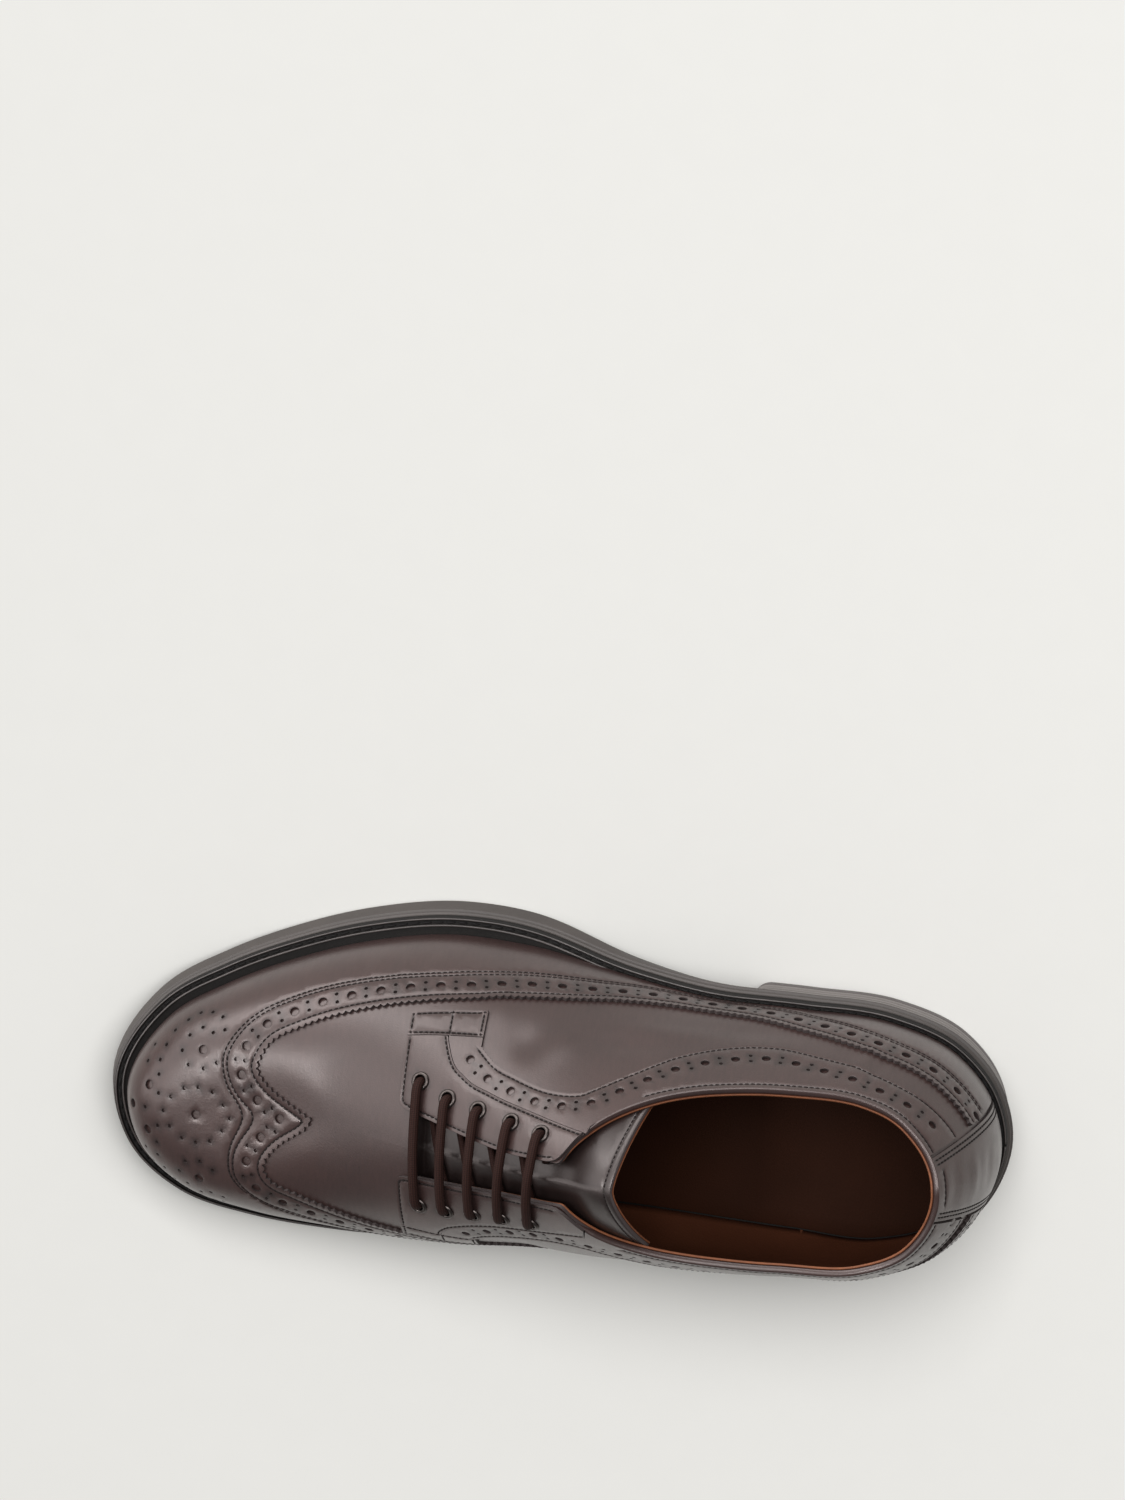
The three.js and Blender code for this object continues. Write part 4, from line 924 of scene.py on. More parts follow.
outer_mouth = spaced(rounded(along(-1, -VAMP_END, open_edge, 900)), CUT_STEP)
inner_mouth = spaced(rounded(along(VAMP_END, 1, open_edge, 900)), CUT_STEP)
throat_end = np.concatenate([
    rib_line(-VAMP_END, outer_mouth[-1, 1], 1, 12)[1:],
    rib_line(VAMP_END, 1, inner_mouth[0, 1], 12)[1:-1],
])
mouth = np.concatenate([outer_mouth, throat_end, inner_mouth[:-1]])
foot_line = along(-1, 1, lambda s: 0 * s, 420)[:-1]

EYELET_HOLE = 2.75
OUTER_EYELETS = [(-0.374, 0.775), (-0.405, 0.805), (-0.439, 0.812), (-0.476, 0.818), (-0.509, 0.828)]
INNER_EYELETS = [(0.377, 0.73), (0.406, 0.722), (0.436, 0.724), (0.468, 0.73), (0.5, 0.732)]
EYELETS = OUTER_EYELETS + INNER_EYELETS
eyelet_holes = [(s, up, EYELET_HOLE, 18) for s, up in EYELETS]

leather_piece("vamp_and_quarters", cut_leather(
    "vamp_and_quarters", foot_line, UPPER_OUT, CALF_THICKNESS, holes=eyelet_holes, window=mouth,
), "upper_leather", ["upper"], upper_calf, raw_edge, edge=0.3)
in_throat = smooth(np.abs(mouth[:, 0]), 0.56, 0.52)
tan_mouth = sidestep(mouth, 0.55 - 1.1 * in_throat)
leather_piece("quarter_lining", cut_leather(
    "quarter_lining", foot_line, LINING_OUT, LINING_THICKNESS, holes=eyelet_holes, window=tan_mouth,
), "insole_leather", ["upper"], lining_leather, lining_edge, edge=0.0)

# Stitching: waxed thread sunk in pressed lines, each stitch a short bead of thread. The rows are noted
# by the leather pieces that carry them and sewn at the end as one mesh.
sewn_rows = []
STITCH_PITCH, STITCH_LENGTH, STITCH_THICKNESS = 1.9, 1.55, 0.68


def sewn(*rows, out=OVERLAY_OUT):
    """Notes stitch rows and hands them on as grooves."""
    sewn_rows.extend((row, out) for row in rows)
    return rows


def inset(line, by):
    """Chart line moved to the right of its run, without the loops that corners make."""
    line = spaced(line, SEAM_STEP)
    moved = sidestep(line, -by)
    known = flat(line)
    tree = kdtree.KDTree(len(known))
    for i, point in enumerate(known):
        tree.insert((*point, 0), i)
    tree.balance()
    far = [tree.find((*point, 0))[2] > 0.9 * abs(by) for point in flat(moved)]
    return moved[np.array(far)]


def pinked(line, pitch, depth):
    """Cut edge with fine teeth to its left."""
    fine = spaced(line, pitch / 4)
    return sidestep(fine, depth * np.array([0, 0.6, 1, 0.6])[np.arange(len(fine)) % 4])


def punched(line, pitch, start, radius, small, side):
    """Row of round holes with a pair of small ones between each two."""
    run = gaps(line)
    at = np.sort(np.concatenate([np.arange(start, run[-1], pitch), np.arange(start, 0, -pitch)[1:]]))

    def places(where, row=line):
        return [(np.interp(w, run, row[:, 0]), np.interp(w, run, row[:, 1])) for w in where]

    holes = [(s, up, radius, 16) for s, up in places(at)]
    between = at[:-1] + pitch / 2
    for by in (-side, side):
        pairs = sidestep(np.array(places(between)), by)
        holes += [(s, up, small, 8) for s, up in pairs]
    return holes


# Wing cap: one long piece from the toe back to the heel stay, pinked along its edge, with a pierced row
# between its seams and a pierced figure on the toe.
WING_EDGE = np.array([
    (-0.015, 0.955, 0.955), (0.03, 0.945, 0.945), (0.061, 0.895, 0.93), (0.082, 0.82, 0.9),
    (0.103, 0.752, 0.84), (0.134, 0.69, 0.748), (0.17, 0.635, 0.672), (0.218, 0.604, 0.63),
    (0.287, 0.555, 0.55), (0.395, 0.44, 0.405), (0.495, 0.297, 0.27), (0.561, 0.193, 0.2),
    (0.624, 0.125, 0.13), (0.689, 0.12, 0.125), (0.754, 0.188, 0.19), (0.82, 0.278, 0.27),
    (0.871, 0.315, 0.31), (0.941, 0.338, 0.335), (1.0, 0.33, 0.33),
])
WING_END = 0.954
BIG_HOLE, SMALL_HOLE = 1.55, 0.68
wing_line = spaced(along(-WING_END, WING_END, WING_EDGE, 1200), 0.6)
wing_outline = np.concatenate([
    along(-WING_END, WING_END, lambda s: 0 * s, 420),
    rib_line(WING_END, 0, wing_line[-1, 1], 24)[1:-1],
    pinked(wing_line, 2.4, 1.0)[::-1],
    rib_line(-WING_END, wing_line[0, 1], 0, 24)[1:-1],
])
hole_line = rounded(inset(wing_line, 5.7), 2)
peak = gaps(hole_line)[np.argmax(hole_line[:, 1] - 10 * (np.abs(hole_line[:, 0]) > 0.05))]
wing_holes = punched(hole_line, 10.0, peak, BIG_HOLE, SMALL_HOLE, 1.6)


def charted(places):
    """Chart points of places on the unrolled last."""
    s, up = (v.ravel() for v in np.meshgrid(CHART_S[::4], CHART_UP[1:-1:2], indexing="ij"))
    known = np.stack([s, up], -1)
    known_flat = flat(known)
    chart = np.array([known[((known_flat - place) ** 2).sum(1).argmin()] for place in places])
    for _ in range(5):
        here = flat(chart)
        along_s = (flat(chart + (0.002, 0)) - here) / 0.002
        along_up = (flat(chart + (0, 0.002)) - here) / 0.002
        miss = places - here
        det = along_s[:, 0] * along_up[:, 1] - along_s[:, 1] * along_up[:, 0]
        chart[:, 0] += (miss[:, 0] * along_up[:, 1] - miss[:, 1] * along_up[:, 0]) / det
        chart[:, 1] += (miss[:, 1] * along_s[:, 0] - miss[:, 0] * along_s[:, 1]) / det
    return chart


# Toe figure: millimetres forward of its middle hole and to either side; the same on both sides
FIGURE_MIDDLE = np.array([263.4, 9.6])
FIGURE_BIG = ((0, 0), (24.5, 0), (17.5, 7.5), (-1, 22))
FIGURE_SMALL = (
    (-12, 0), (11.5, 0), (18.5, 0), (-9.5, 4.5), (-5.5, 8.5), (-0.5, 9.5), (4.5, 8.5), (9, 5), (13.5, 5.5),
    (14, 11.5), (14.5, 16), (20, 14.5), (19.5, 20), (13.5, 21), (6.5, 20.5), (3.5, 16.5), (-2, 16),
    (-6.5, 18.5), (5, 25.5), (1, 28.5), (-3.5, 27.5), (-7.5, 29), (8.5, 30), (5, 33), (0, 34), (-5, 33),
    (12, 26),
)
for figure, radius, sides in ((FIGURE_BIG, BIG_HOLE, 16), (FIGURE_SMALL, SMALL_HOLE, 8)):
    both = sorted({(x, y) for x, y in figure} | {(x, -y) for x, y in figure})
    wing_holes += [(s, up, radius, sides) for s, up in charted(FIGURE_MIDDLE + np.array(both, float))]
wing_rows = sewn(
    inset(wing_line, 1.5), rounded(inset(wing_line, 10.3), 4), rounded(inset(wing_line, 11.8), 5),
)
leather_piece("wing_cap_leather", cut_leather(
    "wing_cap_leather", wing_outline, OVERLAY_OUT, OVERLAY_THICKNESS, holes=wing_holes, grooves=wing_rows,
), "overlay_leather", ["wing_cap"], overlay_calf, raw_edge)

# Heel stay: strip over the back seam, from the top line down to the welt
STAY_START = 0.958
stay_top = spaced(along(STAY_START, 2 - STAY_START, open_edge, 80), CUT_STEP)
stay_outline = np.concatenate([
    along(STAY_START, 2 - STAY_START, lambda s: 0 * s, 40),
    rib_line(2 - STAY_START, 0, stay_top[-1, 1], 70)[1:-1],
    stay_top[::-1],
    rib_line(STAY_START, stay_top[0, 1], 0, 70)[1:-1],
])
stay_sides = (
    (rib_line(STAY_START, 0, stay_top[0, 1] * 0.98, 80), 1),
    (rib_line(2 - STAY_START, 0, stay_top[-1, 1] * 0.98, 80), -1),
)
stay_rows = sewn(
    *(inset(line, by * way) for line, way in stay_sides for by in (1.3, 2.8)),
    sidestep(stay_top[5:-5], -3.8),
)
leather_piece("heel_stay_leather", cut_leather(
    "heel_stay_leather", stay_outline, OVERLAY_OUT, OVERLAY_THICKNESS, grooves=stay_rows,
), "overlay_leather", ["heel_stay"], overlay_calf, raw_edge)

# Top-line bands, facings and tabs: the band follows the collar with a pierced row, the facing carries
# the eyelets, and a square tab ends it low on the vamp. Both sides are cut to the same pattern.
BAND_EDGE = np.array([
    (0.431, 0.6, 0.5), (0.447, 0.64, 0.53), (0.475, 0.661, 0.56), (0.519, 0.665, 0.585), (0.545, 0.64, 0.575),
    (0.58, 0.552, 0.52), (0.626, 0.427, 0.42), (0.667, 0.355, 0.35), (0.73, 0.318, 0.31),
    (0.792, 0.365, 0.34), (0.87, 0.43, 0.4), (0.96, 0.45, 0.42),
])
FACING_EDGE = np.array([
    (0.396, 0.606, 0.543), (0.403, 0.667, 0.577), (0.42, 0.718, 0.61), (0.45, 0.745, 0.638),
    (0.497, 0.763, 0.66), (0.56, 0.79, 0.69),
])
TAB = np.array([(0.353, 0.539, 0.63, 0.476, 0.568), (0.431, 0.458, 0.562, 0.386, 0.491)])
FACING_END = 0.557
FACING_OUT = OVERLAY_OUT + 0.15
TAB_POINTS = 60
tab_split = round((TAB_POINTS - 1) * (FACING_BACK - THROAT_START) / (TAB_BACK - THROAT_START))


def joined(*lines):
    """Closed chart line from lines that follow one another, with no point twice."""
    whole = np.concatenate(lines)
    keep = np.linalg.norm(flat(whole) - flat(np.roll(whole, 1, axis=0)), axis=1) > 0.12
    return whole[keep]


# Lines run from toe to heel, with the sole on their right on the inner side and on their left on the
# outer side, so what is stepped off beside them is multiplied by the side
for side, name in ((-1, "lateral"), (1, "medial")):
    def on_side(rows, start, stop, columns=(1, 2), count=200):
        return along(side * start, side * stop, lambda s: edge_of(rows, s, columns), count)

    open_line = along(side * THROAT_START, side * WING_END, open_edge, 900)
    collar = spaced(rounded(open_line[open_line[:, 0] * side > FACING_END]), CUT_STEP)
    throat = spaced(rounded(open_line[open_line[:, 0] * side <= FACING_END + 0.004], 9), CUT_STEP)
    low = on_side(BAND_EDGE, TAB_BACK, WING_END)
    boundary = on_side(FACING_EDGE, FACING_BACK, FACING_END)
    tab_high = on_side(TAB, THROAT_START, TAB_BACK, (2, 4), TAB_POINTS)
    tab_low = on_side(TAB, THROAT_START, TAB_BACK, (1, 3), TAB_POINTS)
    rise = rib_line(side * FACING_BACK, tab_high[tab_split, 1], boundary[0, 1], 14)
    split = spaced(rounded(np.concatenate([rise, boundary[1:]]), 3), CUT_STEP)

    low_teeth = pinked(low, 1.4, -0.35 * side)
    band_outline = joined(
        low_teeth,
        rib_line(side * WING_END, low[-1, 1], collar[-1, 1], 50)[1:-1],
        collar[::-1],
        sidestep(split, -0.12 * side)[::-1],
        on_side(TAB, FACING_BACK + 0.002, TAB_BACK, (2, 4), 20) - np.array([0, -0.003]),
    )
    fine_low = spaced(low, SEAM_STEP)
    hole_row = sidestep(fine_low, side * (5.3 + 2.0 * smooth(np.abs(fine_low[:, 0]), 0.55, 0.68)))
    band_rows = sewn(inset(low, -1.3 * side), inset(collar, 1.9 * side))
    leather_piece(f"topline_band_leather_{name}", cut_leather(
        f"topline_band_leather_{name}", band_outline, OVERLAY_OUT, OVERLAY_THICKNESS,
        holes=punched(hole_row, 10.0, 1.5, BIG_HOLE - 0.1, SMALL_HOLE, 1.5), grooves=band_rows,
    ), "overlay_leather", [f"topline_band_{name}"], overlay_calf, raw_edge)

    front = rib_line(side * THROAT_START, tab_high[0, 1], throat[0, 1], 50)
    facing_line = rounded(np.concatenate([front[:-1], throat]), 4)
    facing_outline = joined(
        spaced(facing_line, SEAM_STEP),
        sidestep(split, 0.05 * side)[::-1],
        on_side(TAB, THROAT_START, FACING_BACK, (2, 4), 30)[::-1] + np.array([0, 0.003]),
    )
    facing_rows = sewn(
        inset(spaced(facing_line, SEAM_STEP)[1:], 1.3 * side), inset(split, -1.0 * side), out=FACING_OUT,
    )
    holes = [hole for hole in eyelet_holes if hole[0] * side > 0]
    leather_piece(f"facing_leather_{name}", cut_leather(
        f"facing_leather_{name}", facing_outline, FACING_OUT, OVERLAY_THICKNESS,
        holes=holes, grooves=facing_rows,
    ), "overlay_leather", [f"facing_{name}"], overlay_calf, raw_edge)

    tab_outline = joined(
        tab_low,
        rib_line(side * TAB_BACK, tab_low[-1, 1], tab_high[-1, 1], 14)[1:],
        tab_high[::-1],
        rib_line(side * THROAT_START, tab_high[0, 1], tab_low[0, 1], 14)[1:-1],
    )
    tab_rows = sewn(
        inset(tab_low, -1.1 * side), inset(tab_high, 0.9 * side),
        inset(rib_line(side * THROAT_START, tab_low[0, 1], tab_high[0, 1], 20), 1.1 * side),
        inset(rib_line(side * TAB_BACK, tab_low[-1, 1], tab_high[-1, 1], 20), -1.1 * side),
        rib_line(side * FACING_BACK, tab_low[tab_split, 1], tab_high[tab_split, 1], 20),
    )
    leather_piece(f"facing_tab_leather_{name}", cut_leather(
        f"facing_tab_leather_{name}", tab_outline, OVERLAY_OUT, OVERLAY_THICKNESS, grooves=tab_rows,
    ), "overlay_leather", [f"facing_tab_{name}"], overlay_calf, raw_edge)

# Rolled top line: the calf is folded over the collar edge and closed against the lining
ROLL_OUT, ROLL_WIDE, ROLL_HIGH, ROLL_START = 1.92, 1.18, 0.6, 0.548
roll_line = np.concatenate([
    along(-ROLL_START, -1, open_edge, 360), along(1, ROLL_START, open_edge, 360)[1:],
])


def tube(name, points, sides, across, upward, wide, high):
    """Tube through points; its section is an oval along two directions given at each point."""
    turn = np.linspace(0, 2 * np.pi, sides, endpoint=False)
    sideways = np.cos(turn)[None, :, None] * across[:, None] * np.reshape(wide, (-1, 1, 1))
    upwards = np.sin(turn)[None, :, None] * upward[:, None] * np.reshape(high, (-1, 1, 1))
    rings = points[:, None] + (sideways + upwards)
    count = len(points)
    mesh = bpy.data.meshes.new(name)
    faces = [
        (i + k, i + (k + 1) % sides, i + sides + (k + 1) % sides, i + sides + k)
        for i in range(0, (count - 1) * sides, sides) for k in range(sides)
    ]
    faces += [tuple(range(sides))[::-1], tuple((count - 1) * sides + k for k in range(sides))]
    mesh.from_pydata(metres(rings.reshape(-1, 3)).tolist(), [], faces)
    mesh.polygons.foreach_set("use_smooth", [True] * len(mesh.polygons))
    run = np.concatenate([[0], np.cumsum(np.linalg.norm(np.diff(points, axis=0), axis=1))])
    for label, values in (("run", np.repeat(run, sides)), ("round", np.tile(turn, count))):
        mesh.attributes.new(label, "FLOAT", "POINT").data.foreach_set("value", values)
    return mesh


roll_heights = ROLL_OUT + relief(roll_line)
roll_points = lasted(roll_line[:, 0], roll_line[:, 1], roll_heights)
roll_points = np.stack([
    np.convolve(np.pad(roll_points[:, k], 4, "edge"), np.ones(9) / 9, "valid") for k in range(3)
], -1)
roll_across = last_normal(roll_line[:, 0], roll_line[:, 1])
roll_upward = unit(np.cross(unit(np.gradient(roll_points, axis=0)), roll_across))
taper = np.minimum(1, np.minimum(np.arange(len(roll_points)), np.arange(len(roll_points))[::-1]) / 14)
roll_mesh = tube(
    "rolled_topline", roll_points, 14, roll_across, roll_upward, ROLL_WIDE * taper, ROLL_HIGH * taper,
)
piece("rolled_topline", roll_mesh, "upper_leather", ["upper"], upper_calf)

# Tongue: smooth glazed calf with a tan lining, lying in the throat and arching out behind the top
# eyelets; the lace presses it down, and it folds softly just behind the last crossing.
TONGUE_OUT, TONGUE_THICKNESS, TONGUE_START, TONGUE_TOP = -0.5, 1.3, 0.345, 0.583
TONGUE_EDGE = np.array([
    (0.345, 0.83, 0.82), (0.45, 0.78, 0.76), (0.54, 0.68, 0.66), (0.6, 0.6, 0.58), (0.63, 0.57, 0.55),
])


def tongue_shape(chart):
    s, up = np.abs(chart[:, 0]), chart[:, 1]
    pressed = smooth(s, 0.352, 0.372) * smooth(s, 0.572, 0.52) * smooth(up, 0.57, 0.76)
    fold = np.exp(-((s - 0.538) / 0.011) ** 2) * smooth(up, 0.75, 0.95)
    lip = smooth(s, 0.565, 0.6)
    return -2.7 * pressed - 0.35 * fold + 0.3 * lip


def tongue_outline(short):
    """Outline of the tongue with its top edge cut short by a share, and that edge alone."""
    def top_share(up):
        return TONGUE_TOP - short + 0.03 * ((1 - up) / 0.4) ** 1.4

    low = np.linspace(TONGUE_START, top_share(0.605), 90)
    outer = np.stack([-low, edge_of(TONGUE_EDGE, -low)], -1)
    inner = np.stack([low, edge_of(TONGUE_EDGE, low)], -1)
    rise_out = np.linspace(outer[-1, 1], 1, 70)
    rise_in = np.linspace(inner[-1, 1], 1, 70)
    top = np.concatenate([
        np.stack([-top_share(rise_out), rise_out], -1),
        np.stack([top_share(rise_in), rise_in], -1)[::-1][1:],
    ])
    start = np.concatenate([
        rib_line(TONGUE_START, inner[0, 1], 1, 12), rib_line(-TONGUE_START, 1, outer[0, 1], 12)[1:],
    ])
    top = spaced(top, CUT_STEP)
    return joined(spaced(outer, CUT_STEP), top, spaced(inner, CUT_STEP)[::-1], start), top


# Glazed calf: smoother than the upper, with a soft clear shine; its colour is painted darker than the upper's
# as shade, for the tongue lying low under the facings
tongue_calf = calf("tongue_calf_painted_shade", "#120c0b", "#1d1514", 0.36, grain=0.2)
tongue_loop, _ = tongue_outline(0.0)
lining_loop, _ = tongue_outline(-0.0012)
tongue_seam = tongue_outline(0.007)[1]
tongue_seam = tongue_seam[tongue_seam[:, 1] < 0.99]
tongue_rows = sewn(*(tongue_seam[tongue_seam[:, 0] * side > 0] for side in (-1, 1)), out=TONGUE_OUT)
leather_piece("tongue_leather", cut_leather(
    "tongue_leather", tongue_loop, TONGUE_OUT, TONGUE_THICKNESS, grooves=tongue_rows, shape=tongue_shape,
), "tongue_leather", ["tongue"], tongue_calf, raw_edge, edge=0.3)
leather_piece("tongue_lining", cut_leather(
    "tongue_lining", lining_loop, TONGUE_OUT - TONGUE_THICKNESS - 0.03, 0.6, shape=tongue_shape,
), "tongue_leather", ["tongue"], lining_leather, lining_edge, edge=0.0)

# Eyelets: turned brass with a dark nickel plate, rolled over the facing, with a barrel to the lining
EYELET_PROFILE = (
    (1.9, -3.3), (1.9, 0.1), (1.98, 0.42), (2.2, 0.62), (2.5, 0.68), (2.85, 0.6), (3.1, 0.36), (3.22, 0.02),
    (2.45, 0.0), (2.45, -3.3),
)
EYELET_SIDES = 28
# Dark nickel plate: a grey metal, lightly worn to a soft gleam
nickel, tree, shader = finish_of("dark_nickel_plate")
place_in = node(tree, "ShaderNodeTexCoord").outputs["Object"]
wear = node(tree, "ShaderNodeTexNoise", {"Vector": place_in, "Scale": 900.0, "Detail": 3.0})
rough = node(tree, "ShaderNodeMapRange", {"Value": wear.outputs["Fac"], "To Min": 0.26, "To Max": 0.42})
tree.links.new(rough.outputs["Result"], shader.inputs["Roughness"])
shader.inputs["Base Color"].default_value = linear("#4a4442")
shader.inputs["Metallic"].default_value = 1.0
ring_turn = np.linspace(0, 2 * np.pi, EYELET_SIDES, endpoint=False)
for number, (s, up) in enumerate(EYELETS):
    here = np.array([[s, up]])
    centre, normal, along_s, _ = grips(here, FACING_OUT + relief(here)[0])
    first = unit(along_s - normal * (along_s * normal).sum(1, keepdims=True))[0]
    second = np.cross(normal[0], first)
    around_it = np.cos(ring_turn)[:, None] * first + np.sin(ring_turn)[:, None] * second
    rings = [centre + radius * around_it + height * normal for radius, height in EYELET_PROFILE]
    work = bmesh.new()
    made = [[work.verts.new(p) for p in ring] for ring in rings]
    for a, b in zip(made, made[1:] + made[:1]):
        for k in range(EYELET_SIDES):
            work.faces.new((a[k], a[k - 1], b[k - 1], b[k]))
    bmesh.ops.recalc_face_normals(work, faces=work.faces)
    side = "lateral" if s < 0 else "medial"
    label = f"eyelet_{side}_{number % 5 + 1}"
    piece(f"{label}_ring", shaded(work, f"{label}_ring", math.radians(50)), "eyelet_metal", [label], nickel)

# Lace: one length of round waxed cotton. It lies straight over each pair of eyelets and slants back
# below the facings; its ends stop unseen under the top eyelets.
LACE_RADIUS, LACE_UNDER, LACE_SQUEEZE = 1.6, -1.75, 0.68


def crossing(start, stop, shares, outs):
    """Straight route from one eyelet over the ridge to another."""
    middle = (abs(start[0]) + abs(stop[0])) / 2
    route = []
    for (s, up), order in ((start, 1), (stop, -1)):
        half = []
        for share, out in zip(shares, outs):
            toward = s + (np.sign(s) * middle - s) * share
            half.append(lasted(np.array([toward]), np.array([up + (1 - up) * share]), out)[0])
        route.append(half[::order])
    crest = lasted(np.array([-middle]), np.array([1.0]), outs[-1])[0]
    return route[0] + [crest] + route[1]


OVER_SHARES, OVER_OUTS = (0, 0, 0.05, 0.13, 0.3, 0.6), (0.3, 2.6, 4.35, 5.0, 5.0, 4.8)
UNDER_SHARES, UNDER_OUTS = (0, 0.1, 0.3, 0.65), (-1.0, -1.7, -1.75, -1.75)
# It starts under the top inner eyelet, runs down below the facing and comes up at the lowest
HIDDEN_START = ((0.497, 0.665), (0.46, 0.655), (0.42, 0.65), (0.388, 0.668))
lace_route, squeeze = [], []
for s, up in HIDDEN_START:
    lace_route.append(lasted(np.array([s]), np.array([up]), LACE_UNDER)[0])
    squeeze.append(LACE_SQUEEZE)
for pair in range(5):
    over = crossing(INNER_EYELETS[pair], OUTER_EYELETS[pair], OVER_SHARES, OVER_OUTS)
    lace_route += over
    squeeze += [0.85] + [1.0] * (len(over) - 2) + [0.85]
    if pair < 4:
        under = crossing(OUTER_EYELETS[pair], INNER_EYELETS[pair + 1], UNDER_SHARES, UNDER_OUTS)
        lace_route += under
        squeeze += [LACE_SQUEEZE] * len(under)
s, up = OUTER_EYELETS[-1]
for by in (0.03, 0.1):
    lace_route.append(lasted(np.array([s]), np.array([up + by]), LACE_UNDER)[0])
    squeeze.append(LACE_SQUEEZE)
lace_knots = np.array(lace_route)
chord = np.concatenate([[0], np.cumsum(np.sqrt(np.linalg.norm(np.diff(lace_knots, axis=0), axis=1)))])
steps = np.linspace(0, chord[-1], 1100)


def spline(knots, at):
    """Smooth path that passes through its knots, with no overshoot between close ones."""
    slope = np.gradient(knots, chord, axis=0)
    i = np.clip(np.searchsorted(chord, at, side="right") - 1, 0, len(chord) - 2)
    span = (chord[i + 1] - chord[i])[:, None]
    t = ((at - chord[i])[:, None]) / span
    a, b = knots[i], knots[i + 1]
    return ((2 * t ** 3 - 3 * t ** 2 + 1) * a + (t ** 3 - 2 * t ** 2 + t) * span * slope[i]
            + (3 * t ** 2 - 2 * t ** 3) * b + (t ** 3 - t ** 2) * span * slope[i + 1])


lace_points = spline(lace_knots, steps)
even = np.concatenate([[0], np.cumsum(np.linalg.norm(np.diff(lace_points, axis=0), axis=1))])
at = np.linspace(0, even[-1], 900)
lace_points = np.stack([np.interp(at, even, lace_points[:, k]) for k in range(3)], -1)
lace_radius = LACE_RADIUS * np.interp(np.interp(at, even, steps), chord, squeeze)
run = unit(np.gradient(lace_points, axis=0))
frame_one = np.zeros_like(run)
frame_one[0] = unit(np.cross(run[0], (0, 0, 1)))
for k in range(1, len(run)):
    turned = frame_one[k - 1] - run[k] * np.dot(frame_one[k - 1], run[k])
    frame_one[k] = turned / np.linalg.norm(turned)
lace_mesh = tube("waxed_lace", lace_points, 16, frame_one, np.cross(run, frame_one), lace_radius, lace_radius)
# Braided cotton, waxed: deep brown and matt, with strands crossing every millimetre or so; the hollows
# between the strands are painted darker as shade
waxed_cotton, tree, shader = finish_of("waxed_cotton_cord")
along_it = node(tree, "ShaderNodeAttribute", attribute_name="run")
round_it = node(tree, "ShaderNodeAttribute", attribute_name="round")
rises = []
for hand in (1, -1):
    turns = node(tree, "ShaderNodeMath", {0: round_it.outputs["Fac"], 1: 6.0 * hand}, operation="MULTIPLY")
    phase = node(tree, "ShaderNodeMath", {0: along_it.outputs["Fac"], 1: 5.2, 2: turns.outputs["Value"]},
                 operation="MULTIPLY_ADD")
    wave = node(tree, "ShaderNodeMath", {0: phase.outputs["Value"]}, operation="SINE")
    rises.append(wave.outputs["Value"])
braid = node(tree, "ShaderNodeMath", {0: rises[0], 1: rises[1]}, operation="MULTIPLY")
bump = node(tree, "ShaderNodeBump",
            {"Height": braid.outputs["Value"], "Strength": 0.35, "Distance": PATTERN_DEPTH})
# Painted shade and highlight: the colour follows the braid's height, lighter on the strands and darker
# between them
tint = node(tree, "ShaderNodeValToRGB", {"Fac": braid.outputs["Value"]})
tint.color_ramp.elements[0].color = linear("#1c0e0b")
tint.color_ramp.elements[1].color = linear("#301a15")
tree.links.new(tint.outputs["Color"], shader.inputs["Base Color"])
tree.links.new(bump.outputs["Normal"], shader.inputs["Normal"])
shader.inputs["Roughness"].default_value = 0.75
shader.inputs["Specular IOR Level"].default_value = 0.12
piece("waxed_lace", lace_mesh, "lace_cotton", [f"lace_bar_{k}" for k in range(1, 6)], waxed_cotton)

# Seams: every noted row is sewn with beads of waxed thread; the welt has thicker black ones
work = bmesh.new()
bmesh.ops.create_uvsphere(work, u_segments=6, v_segments=4, radius=1)
BEAD_POINTS = np.array([v.co for v in work.verts])
BEAD_FACES = [[v.index for v in f.verts] for f in work.faces]
work.free()


def beads(name, points, runs, normals, length, thickness):
    """Mesh of thread beads, one at each point."""
    side = unit(np.cross(normals, runs))
    rise = np.cross(runs, side)
    axes = np.stack([side * thickness / 2, rise * thickness / 2, runs * length / 2], 1)
    places = points[:, None] + np.einsum("vk,nkj->nvj", BEAD_POINTS, axes)
    count = len(BEAD_POINTS)
    faces = [[i * count + v for v in face] for i in range(len(points)) for face in BEAD_FACES]
    mesh = bpy.data.meshes.new(name)
    mesh.from_pydata(metres(places.reshape(-1, 3)).tolist(), [], faces)
    mesh.polygons.foreach_set("use_smooth", [True] * len(mesh.polygons))
    return mesh


def thread(name, shade):
    """Waxed linen thread: one dark shade with hardly any shine."""
    material, _, shader = finish_of(name)
    shader.inputs["Base Color"].default_value = linear(shade)
    shader.inputs["Roughness"].default_value = 0.75
    shader.inputs["Specular IOR Level"].default_value = 0.2
    return material


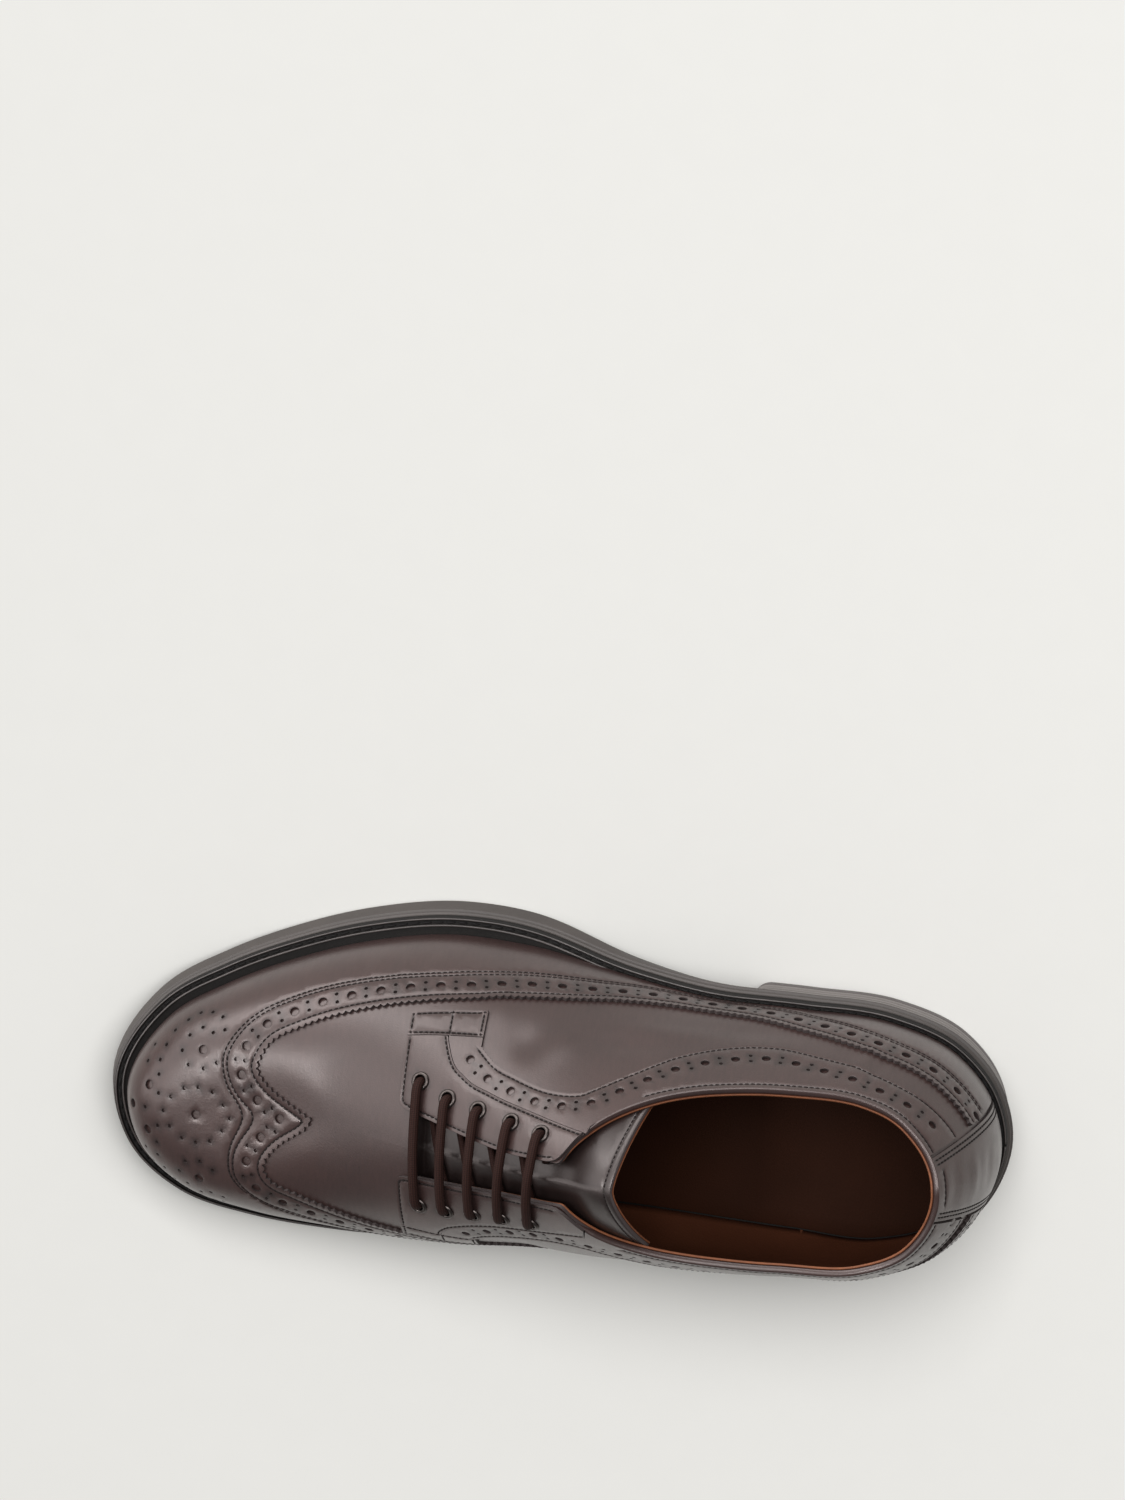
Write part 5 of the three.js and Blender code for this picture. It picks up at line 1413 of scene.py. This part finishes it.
STITCH_SUNK = 0.2
bead_points, bead_runs, bead_normals = [], [], []
for row, out in sewn_rows:
    even_row = spaced(row, STITCH_PITCH)
    if len(even_row) < 3:
        continue
    middle = (even_row[:-1] + even_row[1:]) / 2
    shape = tongue_shape if out == TONGUE_OUT else relief
    ends = lasted(even_row[:, 0], even_row[:, 1], out + shape(even_row))
    bead_points.append(lasted(middle[:, 0], middle[:, 1], out - STITCH_SUNK + shape(middle)))
    bead_runs.append(unit(np.diff(ends, axis=0)))
    bead_normals.append(last_normal(middle[:, 0], middle[:, 1]))
bead_points, bead_runs, bead_normals = (np.concatenate(v) for v in (bead_points, bead_runs, bead_normals))
seams = beads("upper_seams", bead_points, bead_runs, bead_normals, STITCH_LENGTH, STITCH_THICKNESS)
piece("upper_seams", seams, "overlay_leather", ["upper"], thread("waxed_brown_thread", "#140c0b"))

WELT_STITCH, WELT_BEAD, WELT_THREAD, CHANNEL_FROM_EDGE = 4.0, 3.3, 0.95, -2.6
channel_s = np.linspace(-1, 1, 3000)
x, y = edge_point(channel_s, sole_reach(feather_point(channel_s)[0]) + CHANNEL_FROM_EDGE)
channel = np.column_stack([x, y, sole_top(x) + WELT_LEVEL + 0.02])
run_length = np.concatenate([[0], np.cumsum(np.linalg.norm(np.diff(channel, axis=0), axis=1))])
at = np.linspace(0, run_length[-1], round(run_length[-1] / WELT_STITCH))[:-1]
welt_points = np.stack([np.interp(at, run_length, channel[:, k]) for k in range(3)], -1)
ahead = np.stack([np.interp(at + 0.5, run_length, channel[:, k]) for k in range(3)], -1)
upward = np.tile((0.0, 0.0, 1.0), (len(at), 1))
seams = beads("welt_seam", welt_points, unit(ahead - welt_points), upward, WELT_BEAD, WELT_THREAD)
piece("welt_seam", seams, "welt_leather", ["welt"], thread("waxed_black_thread", "#0d0b0b"))

# Highlight lines of the welt: its rim and the fine bead beside the upper, rubbed with the edge iron until
# they shine and painted lighter than the welt as a painted highlight. Each is given by its place from the
# edge, its height and its radius.
HIGHLIGHT_LINES = (("welt_rim", -1.42, 0.36, 0.3), ("welt_bead", -3.72, 0.26, 0.36))
for name, out, height, wide in HIGHLIGHT_LINES:
    x, y = edge_point(channel_s, sole_reach(feather_point(channel_s)[0]) + out)
    line = np.column_stack([x, y, sole_top(x) + WELT_LEVEL + height])[::4]
    sideways = unit(np.cross(np.gradient(line, axis=0), (0.0, 0.0, 1.0)))
    upward = np.tile((0.0, 0.0, 1.0), (len(line), 1))
    made = tube(name, line, 6, sideways, upward, wide, wide)
    piece(f"{name}_line", made, "welt_leather", ["welt"], welt_highlight)
